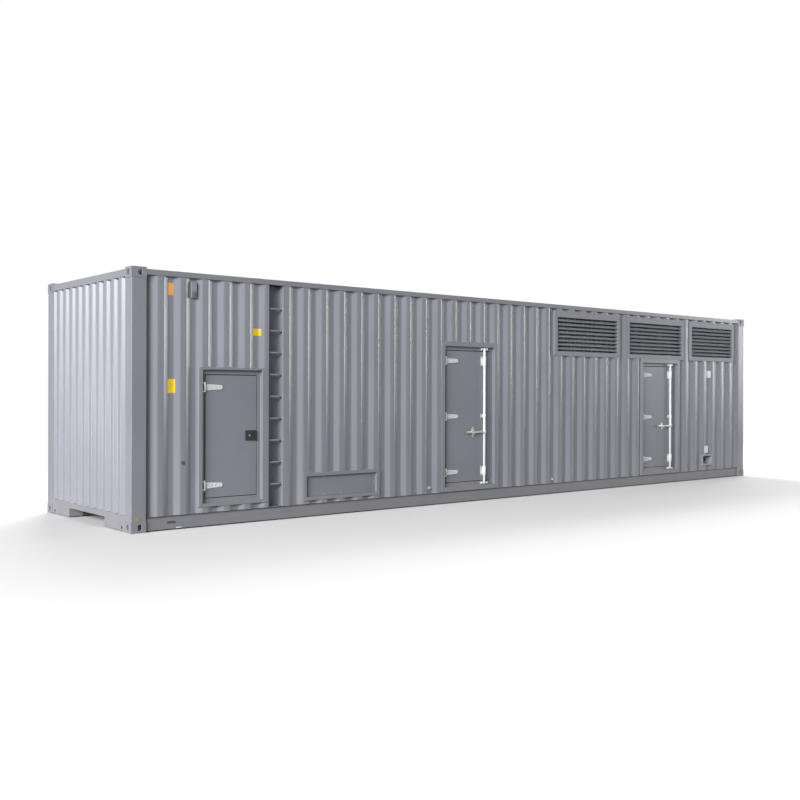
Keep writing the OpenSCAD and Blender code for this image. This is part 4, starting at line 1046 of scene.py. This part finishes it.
class CONTAINER_OT_seals(bpy.types.Operator):
    """Fits a rubber seal in the rebate around each leaf, and mastic along the floor's edges"""
    bl_idname = "container.seals"
    bl_label = "Door Seals"

    def execute(self, context):
        sizes = context.scene.container_fittings
        service_leaves = [f"{door}_service_door" for door in SERVICE_DOORS]
        seals = [self.seal(leaf, sizes.leaf_gap, sizes.seal) for leaf in ["control_door"] + service_leaves]
        add_piece("door_seals", joined(seals), "seal_rubber")
        pressed = [self.seal(leaf, sizes.leaf_gap, sizes.leaf_gap) for leaf in service_leaves]
        add_piece("back_door_seals", mirrored(joined(pressed), 1), "seal_rubber")
        low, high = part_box("floor_deck")
        spacing = 0.4
        edge = straight((low[0], high[1], high[2]), high, spacing)
        mastic = weld_bead(edge, OUT["-y"], OUT["+z"], sizes.mastic)
        add_piece("floor_mastic", on_both_sides(mastic), "seal_rubber")
        return {"FINISHED"}

    def seal(self, leaf, gap, width):
        """Bulb of eight points on the inner edge of the rebate, carried round the leaf."""
        low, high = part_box(leaf)
        set_back, deep = 0.007, 0.018
        front = low[1] + set_back
        bulb = [(0.0, 0.0), (0.55, 0.0), (0.9, 0.12), (1.0, 0.3),
                (1.0, 0.7), (0.9, 0.88), (0.55, 1.0), (0.0, 1.0)]
        profile = [(inset * width, front + share * deep) for inset, share in bulb]
        return frame_ring((low[0] - gap, low[2] - gap), (high[0] + gap, high[2] + gap), profile)


class CONTAINER_OT_door_fasteners(bpy.types.Operator):
    """Presses ridges into the straps, and sets rivets, bolts and pin caps on the door fittings"""
    bl_idname = "container.door_fasteners"
    bl_label = "Door Fasteners"

    def execute(self, context):
        sizes = context.scene.container_fittings
        self.dress("control_door", solid_boxes("control_door_straps"), [], sizes)
        sets = [self.dress(f"{door}_service_door", solid_boxes(f"{door}_door_straps"),
                           solid_boxes(f"{door}_rod_brackets"), sizes) for door in SERVICE_DOORS]
        ridges, rivets, bolts = [mirrored(joined(list(parts)), 1) for parts in zip(*sets)]
        add_piece("back_door_strap_ridges", ridges, "fitting_paint")
        add_piece("back_door_rivets", rivets, "fitting_paint")
        add_piece("back_door_bolts", bolts, "bolt_steel")
        self.pin_caps(sizes)
        return {"FINISHED"}

    def dress(self, body, straps, brackets, sizes):
        """Ridges and rivets on the straps of a door, and bolts on its brackets, all riding on the leaf."""
        ridges = joined([strap_ridge(box, sizes) for box in straps])
        places = np.concatenate([strap_rivets(box, sizes) for box in straps])
        rivets = copies(rivet_head(sizes.rivet), OUT["-y"], places)
        add_piece(f"{body}_strap_ridges", ridges, "fitting_paint", body)
        add_piece(f"{body}_rivets", rivets, "fitting_paint", body)
        if not brackets:
            return None
        places = np.concatenate([bracket_bolts(box, sizes) for box in brackets])
        bolts = copies(bolt_head(sizes.bolt), OUT["-y"], places)
        add_piece(f"{body}_bolts", bolts, "bolt_steel", body)
        return ridges, rivets, bolts

    def pin_caps(self, sizes):
        """Domes on both ends of each hinge pin."""
        cap_share = 0.85
        radius = sizes.knuckle * cap_share
        cap = turned([(radius, 0), (radius, 0.002), (0.7 * radius, 0.005), (0.2 * radius, 0.006)], 14)
        parts = []
        for low, high in solid_boxes("hinge_brackets"):
            pin = (high[0] - sizes.knuckle, (low[1] + high[1]) / 2)
            parts.append(copies(cap, OUT["+z"], [pin + (high[2],)]))
            parts.append(copies(cap, OUT["-z"], [pin + (low[2],)]))
        add_piece("hinge_pin_caps", joined(parts), "fitting_paint")


class CONTAINER_OT_handles(bpy.types.Operator):
    """Forges the root and the grip of each lock handle"""
    bl_idname = "container.handles"
    bl_label = "Lock Handles"

    def execute(self, context):
        back = []
        for door in SERVICE_DOORS:
            part = self.handle(f"{door}_lock_rod")
            back.append(mirrored(part, 1))
            add_piece(f"{door}_handle_forging", part, "zinc_plate", f"{door}_lock_rod")
        add_piece("back_handle_forgings", joined(back), "zinc_plate")
        return {"FINISHED"}

    def handle(self, rod):
        """Rings along the bar: deep at the hub and slim further out, then swelling to a rounded grip."""
        low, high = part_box(rod)
        hub_radius = 0.025
        bar_depth = low[1] + hub_radius
        hub, tip = high[0] - 2 * hub_radius, low[0]
        root = np.array([
            [hub, 0.0235, 0.0125], [hub - 0.030, 0.0195, 0.011], [hub - 0.070, 0.0155, 0.0085],
            [hub - 0.095, 0.0125, 0.0072]])
        grip = np.array([
            [tip + 0.096, 0.0125, 0.0068], [tip + 0.085, 0.0175, 0.0085], [tip + 0.040, 0.0185, 0.0092],
            [tip + 0.010, 0.0175, 0.0085], [tip + 0.0005, 0.0115, 0.0062]])
        return joined([self.loft(stations, bar_depth) for stations in (root, grip)])

    def loft(self, stations, bar_depth):
        """Superellipses at the height of the handles, each given by its X, half height and half thickness."""
        points, corner = 16, 0.6
        angle = np.linspace(0, 2 * math.pi, points, endpoint=False)
        across = np.sign(np.cos(angle)) * np.abs(np.cos(angle)) ** corner
        up = np.sign(np.sin(angle)) * np.abs(np.sin(angle)) ** corner
        depth = bar_depth + stations[:, 2:] * across
        return swept(grid_points(stations[:, :1], depth, HANDLE_HEIGHT + stations[:, 1:2] * up))


class CONTAINER_OT_small_fittings(bpy.types.Operator):
    """Adds the key lock, rung welds, hatch screws, drain plugs, ventilator slats and the fuel cap"""
    bl_idname = "container.small_fittings"
    bl_label = "Small Fittings"

    def execute(self, context):
        self.key_lock()
        self.rung_welds()
        self.hatch_screws(context.scene.container_fittings)
        self.drain_plugs(context.scene.container_sheets)
        self.ventilator_slats()
        self.fuel_cap()
        return {"FINISHED"}

    def key_lock(self):
        """Stepped barrel with a key slot rim, on the paddle near its pivot."""
        low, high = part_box("latch_paddle")
        from_pivot, sunk = 0.030, 0.0005
        place = (low[0] + from_pivot, low[1] + sunk, (low[2] + high[2]) / 2)
        barrel = turned([(0.011, 0), (0.011, 0.0016), (0.0098, 0.0022), (0.0075, 0.0022), (0.007, 0.0012),
                         (0.002, 0.0012)], 20)
        part = copies(barrel, OUT["-y"], [place])
        add_piece("latch_key_barrel", part, "bolt_steel", "latch_paddle")

    def rung_welds(self):
        """Fillet cone round each end of each rung."""
        cone = turned([(0.0175, 0), (0.0155, 0.0028), (0.0122, 0.0055)], 16)
        low, high = np.moveaxis(np.array(solid_boxes("ladder_rungs")), 1, 0)
        middle = (low + high) / 2
        starts = grid_points(low[:, 0], middle[:, 1], middle[:, 2])
        ends = grid_points(high[:, 0], middle[:, 1], middle[:, 2])
        part = joined([copies(cone, OUT["+x"], starts), copies(cone, OUT["-x"], ends)])
        add_piece("ladder_rung_welds", part, "weld_paint")

    def hatch_screws(self, sizes):
        """Domed screws along the edge of the hatch cover."""
        low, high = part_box("cable_hatch_cover")
        edge, count = 0.018, 5
        x = np.linspace(low[0] + edge, high[0] - edge, count)
        rows = np.array([low[2] + edge, high[2] - edge])
        grid = grid_points(x[:, None], low[1], rows).reshape(-1, 3)
        sides = grid_points(x[[0, -1]], low[1], rows.mean())
        part = copies(rivet_head(sizes.screw), OUT["-y"], np.concatenate([grid, sides]))
        add_piece("cable_hatch_screws", part, "bolt_steel")

    def drain_plugs(self, settings):
        """Flange and square-shouldered plug in the inner flats low on the wall."""
        plug = turned([(0.026, 0), (0.026, 0.005), (0.017, 0.0065), (0.017, 0.017), (0.013, 0.020)], 12)
        depth = settings.wall_inset + settings.side_fold[3]
        places = [(END_X + along, depth - HALF_WIDTH, height) for along, height in DRAIN_PLUGS]
        add_piece("drain_plugs", copies(plug, OUT["-y"], places), "zinc_plate")

    def ventilator_slats(self):
        """Slanted slats over the lower part of each ventilator's face, on a near-black field that is painted
        shade between them.
        """
        low, high = service_boxes("ventilators")[0]
        count, pitch, side, sill, head = 6, 0.010, 0.007, 0.006, 0.004
        raised, slat_depth, slat_inset, slat_foot, slat_top = 0.001, 0.005, 0.002, 0.003, 0.009
        field_edge, slat_edge = 0.0004, 0.0012
        left, right, foot = low[0] + side, high[0] - side, low[2] + sill
        top = foot + count * pitch + head
        field = rounded_bar((left, low[1] - raised, foot), (right, low[1] + raised, top), field_edge)
        slats = [rounded_bar((left + slat_inset, low[1] - slat_depth, level + slat_foot),
                             (right - slat_inset, low[1], level + slat_top), slat_edge)
                 for level in foot + pitch * np.arange(count)]
        # near-black field: painted shade behind the slats
        add_piece("ventilator_shade_fields", on_both_sides(field), "painted_shade_black")
        add_piece("ventilator_slats", on_both_sides(joined(slats)), "louvre_paint")

    def fuel_cap(self):
        """Fluted sleeve over the cap, its radius waving round the turn, with a bar across its face to grip."""
        low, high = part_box("fuel_inlet")
        middle = np.array([(low[0] + high[0]) / 2, low[1], (low[2] + high[2]) / 2])
        sleeve, flute, flutes, points = 0.0395, 0.0012, 24, 96
        angle = np.linspace(0, 2 * math.pi, points, endpoint=False)
        heights = np.array([-0.0165, -0.0015, 0.001, 0.0016])
        shrink = np.array([0.0, 0.0, 0.0015, 0.012])
        radius = sleeve + flute * np.cos(flutes * angle) - shrink[:, None]
        rings = grid_points(radius * np.cos(angle), radius * np.sin(angle), heights[:, None])
        grip_low, grip_high, grip_edge = (-0.027, -0.006, 0.001), (0.027, 0.006, 0.013), 0.003
        bar = rounded_bar(grip_low, grip_high, grip_edge)
        part = copies(joined([swept(rings), bar]), OUT["-y"], [middle])
        add_piece("fuel_cap_cover", part, "latch_black")


class CONTAINER_OT_plates(bpy.types.Operator):
    """Lays the bare plates on the folds of the wall"""
    bl_idname = "container.plates"
    bl_label = "Bare Plates"

    def execute(self, context):
        settings = context.scene.container_sheets
        walls = sheet_boxes(service_boxes)
        for name, (finish, x0, x1, z0, z1) in WALL_PLATES.items():
            middle = np.array([(x0 + x1) / 2 + END_X, (z0 + z1) / 2])
            wall = next(box for box in walls
                        if np.all(middle > box[0][[0, 2]]) and np.all(middle < box[1][[0, 2]]))
            part = self.plate(wall, (x0, x1), (z0, z1), settings, name in STIFF_PLATES)
            add_piece(name, part, finish)
        face = solid_boxes("bottom_side_rails")[0][0][1]
        x0, x1, z0, z1 = RAIL_TAG
        raised, sunk, edge = 0.0012, 0.0002, 0.0004
        tag = rounded_bar((END_X + x0, face - raised, z0), (END_X + x1, face + sunk, z1), edge)
        add_piece("rail_tag", tag, "plate_pale")
        return {"FINISHED"}

    def plate(self, wall, along, up, settings, stiff):
        """Thin sheet in front of the wall, which follows its depth or, if stiff, lies on its outer flats."""
        stations = np.linspace(along[0], along[1], 25)
        rows = np.linspace(up[0], up[1], 8)
        depth = wall_depth(stations, rows, settings.side_fold, side_spans(wall), settings)
        if stiff:
            depth = np.full_like(depth, depth.min())
        face = grid_points(stations[:, None] + END_X, depth - HALF_WIDTH - PLATE_LIFT, rows)
        thickness_share = 0.8
        return shell(face, face + (0.0, PLATE_LIFT * thickness_share, 0.0))


class CONTAINER_OT_stage(bpy.types.Operator):
    """Lays the pale floor, hangs the soft lights and sets the camera"""
    bl_idname = "container.stage"
    bl_label = "Stage"

    def execute(self, context):
        stage = context.scene.container_stage
        context.scene.view_settings.view_transform = "Standard"
        make_floor(stage)
        make_world(context.scene, stage)
        make_lights()
        make_camera(context.scene, stage)
        return {"FINISHED"}


# Stage


def make_floor(stage):
    """Flat pale floor: it takes the shadow near the container, goes over to white further out, and throws
    back less light than it shows."""
    half, count = 120.0, 9
    thrown_back, squeeze, shade_end, white_start = 0.32, (0.45, 1.0, 1.0), 3.2, 9.0
    steps = np.linspace(-half, half, count)
    points = grid_points(steps[:, None], steps, 0.0).reshape(-1, 3)
    mesh = bpy.data.meshes.new("floor")
    mesh.from_pydata(points.tolist(), [], grid_faces(count, count)[:, ::-1].tolist())
    floor = bpy.data.objects.new("floor", mesh)
    bpy.context.scene.collection.objects.link(floor)
    finish = Finish("pale_floor")
    tree = finish.tree
    seen = tree.nodes.new("ShaderNodeLightPath").outputs["Is Camera Ray"]
    pale = (stage.floor_grey,) * 3 + (1.0,)
    finish.set(Base_Color=mixed(tree, seen, tint(pale[:3], thrown_back), pale), Roughness=0.9)
    past = node(tree, "ShaderNodeMapping", {"Vector": finish.place, "Scale": squeeze}).outputs["Vector"]
    distance = node(tree, "ShaderNodeVectorMath", {0: past}, operation="LENGTH").outputs["Value"]
    share = calc(tree, "MULTIPLY", ramp(tree, distance, shade_end, white_start), seen)
    white = node(tree, "ShaderNodeEmission", {"Color": (1.0, 1.0, 1.0, 1.0), "Strength": 1.0})
    blend = node(tree, "ShaderNodeMixShader", {0: share, 1: finish.shader.outputs[0], 2: white.outputs[0]})
    tree.links.new(blend.outputs[0], tree.nodes["Material Output"].inputs["Surface"])
    mesh.materials.append(finish.material)


def make_world(scene, stage):
    """Even pale sky: dim as a light, white to the camera and through glass, and partly white in reflections."""
    mirrored_share = 0.4
    world = bpy.data.worlds.new("pale_sky")
    world.use_nodes = True
    scene.world = world
    tree = world.node_tree
    tree.nodes.clear()
    paths = tree.nodes.new("ShaderNodeLightPath").outputs
    glossy = calc(tree, "MULTIPLY", paths["Is Glossy Ray"], mirrored_share)
    seen = calc(tree, "MAXIMUM", paths["Is Camera Ray"], glossy)
    seen = calc(tree, "MAXIMUM", seen, paths["Is Transmission Ray"])
    light = node(tree, "ShaderNodeBackground", {"Color": (1.0, 0.97, 0.95, 1.0), "Strength": stage.sky})
    white = node(tree, "ShaderNodeBackground", {"Color": (1.0, 1.0, 1.0, 1.0), "Strength": 1.0})
    blend = node(tree, "ShaderNodeMixShader", {0: seen, 1: light.outputs[0], 2: white.outputs[0]})
    out = tree.nodes.new("ShaderNodeOutputWorld")
    tree.links.new(blend.outputs[0], out.inputs["Surface"])


def area_light(name, place, aim, extent, power, spread=180.0):
    """Large soft panel at a place, turned to an aim, its beam narrowed to a spread of so many degrees."""
    data = bpy.data.lights.new(name, "AREA")
    data.shape = "RECTANGLE"
    data.size, data.size_y = extent
    data.energy = power
    data.spread = math.radians(spread)
    lamp = bpy.data.objects.new(name, data)
    direction = np.asarray(aim, float) - np.asarray(place, float)
    yaw = math.atan2(direction[1], direction[0])
    tilt = math.atan2(direction[2], math.hypot(direction[0], direction[1]))
    lamp.rotation_euler = (math.pi / 2 + tilt, 0.0, yaw - math.pi / 2)
    lamp.location = place
    bpy.context.scene.collection.objects.link(lamp)


def make_lights():
    """A broad panel that slants along the service side from the tunnel end; one on that end; one that shines
    back from the horizon, so that the folds glint; one each over the roof, on the back and on the far end."""
    area_light("key_light", (-41.0, -20.0, 14.0), (0.0, -1.2, 1.4), (24.0, 14.0), 30500.0)
    area_light("end_light", (-17.0, 4.5, 0.9), (-6.1, 0.0, 0.5), (7.0, 1.6), 85.0, 70.0)
    area_light("horizon_light", (44.0, -11.5, 6.0), (0.0, -1.2, 1.4), (18.0, 9.0), 7000.0)
    area_light("roof_light", (0.0, 0.0, 14.0), (0.0, 0.0, 2.9), (16.0, 8.0), 450.0)
    area_light("back_light", (6.0, 15.0, 17.0), (0.0, 1.2, 1.4), (14.0, 8.0), 4600.0)
    area_light("far_light", (17.0, 4.0, 6.0), (6.1, 0.0, 1.4), (7.0, 5.0), 1000.0)


def make_camera(scene, stage):
    """Camera at the photograph's place, with its focal length and the small offset of its centre."""
    data = bpy.data.cameras.new("camera")
    data.sensor_fit = "HORIZONTAL"
    data.sensor_width = 36.0
    data.lens = stage.lens
    data.shift_x, data.shift_y = stage.shift
    data.clip_end = 500.0
    camera = bpy.data.objects.new("camera", data)
    level = Euler((math.pi / 2 + stage.pitch, 0.0, stage.yaw - math.pi / 2)).to_matrix()
    turn = level @ Matrix.Rotation(stage.roll, 3, "Z")
    camera.matrix_world = Matrix.Translation(stage.place) @ turn.to_4x4()
    scene.collection.objects.link(camera)
    scene.camera = camera


class CONTAINER_PT_panel(bpy.types.Panel):
    """Lists the steps in the sidebar"""
    bl_label = "Container"
    bl_idname = "CONTAINER_PT_panel"
    bl_space_type = "VIEW_3D"
    bl_region_type = "UI"
    bl_category = "Container"

    def draw(self, context):
        for step in STEPS:
            self.layout.operator(step.bl_idname)


SETTINGS = {"container_sheets": SheetSettings, "container_fittings": FittingSettings,
            "container_paint": PaintSettings, "container_stage": StageSettings}
STEPS = (CONTAINER_OT_finishes, CONTAINER_OT_sheets, CONTAINER_OT_welds, CONTAINER_OT_louvre_screens,
         CONTAINER_OT_seals, CONTAINER_OT_door_fasteners, CONTAINER_OT_handles, CONTAINER_OT_small_fittings,
         CONTAINER_OT_plates, CONTAINER_OT_stage)
CLASSES = tuple(SETTINGS.values()) + STEPS + (CONTAINER_PT_panel,)


def register():
    """Registers the classes and hangs the settings on the scene."""
    for cls in CLASSES:
        bpy.utils.register_class(cls)
    for name, group in SETTINGS.items():
        setattr(bpy.types.Scene, name, bpy.props.PointerProperty(type=group))


def unregister():
    """Takes the settings off the scene and unregisters the classes."""
    for name in SETTINGS:
        delattr(bpy.types.Scene, name)
    for cls in reversed(CLASSES):
        bpy.utils.unregister_class(cls)


def main():
    """Runs all the steps in order."""
    register()
    for step in STEPS:
        getattr(bpy.ops.container, step.bl_idname.split(".")[1])()


if __name__ == "__main__":
    main()
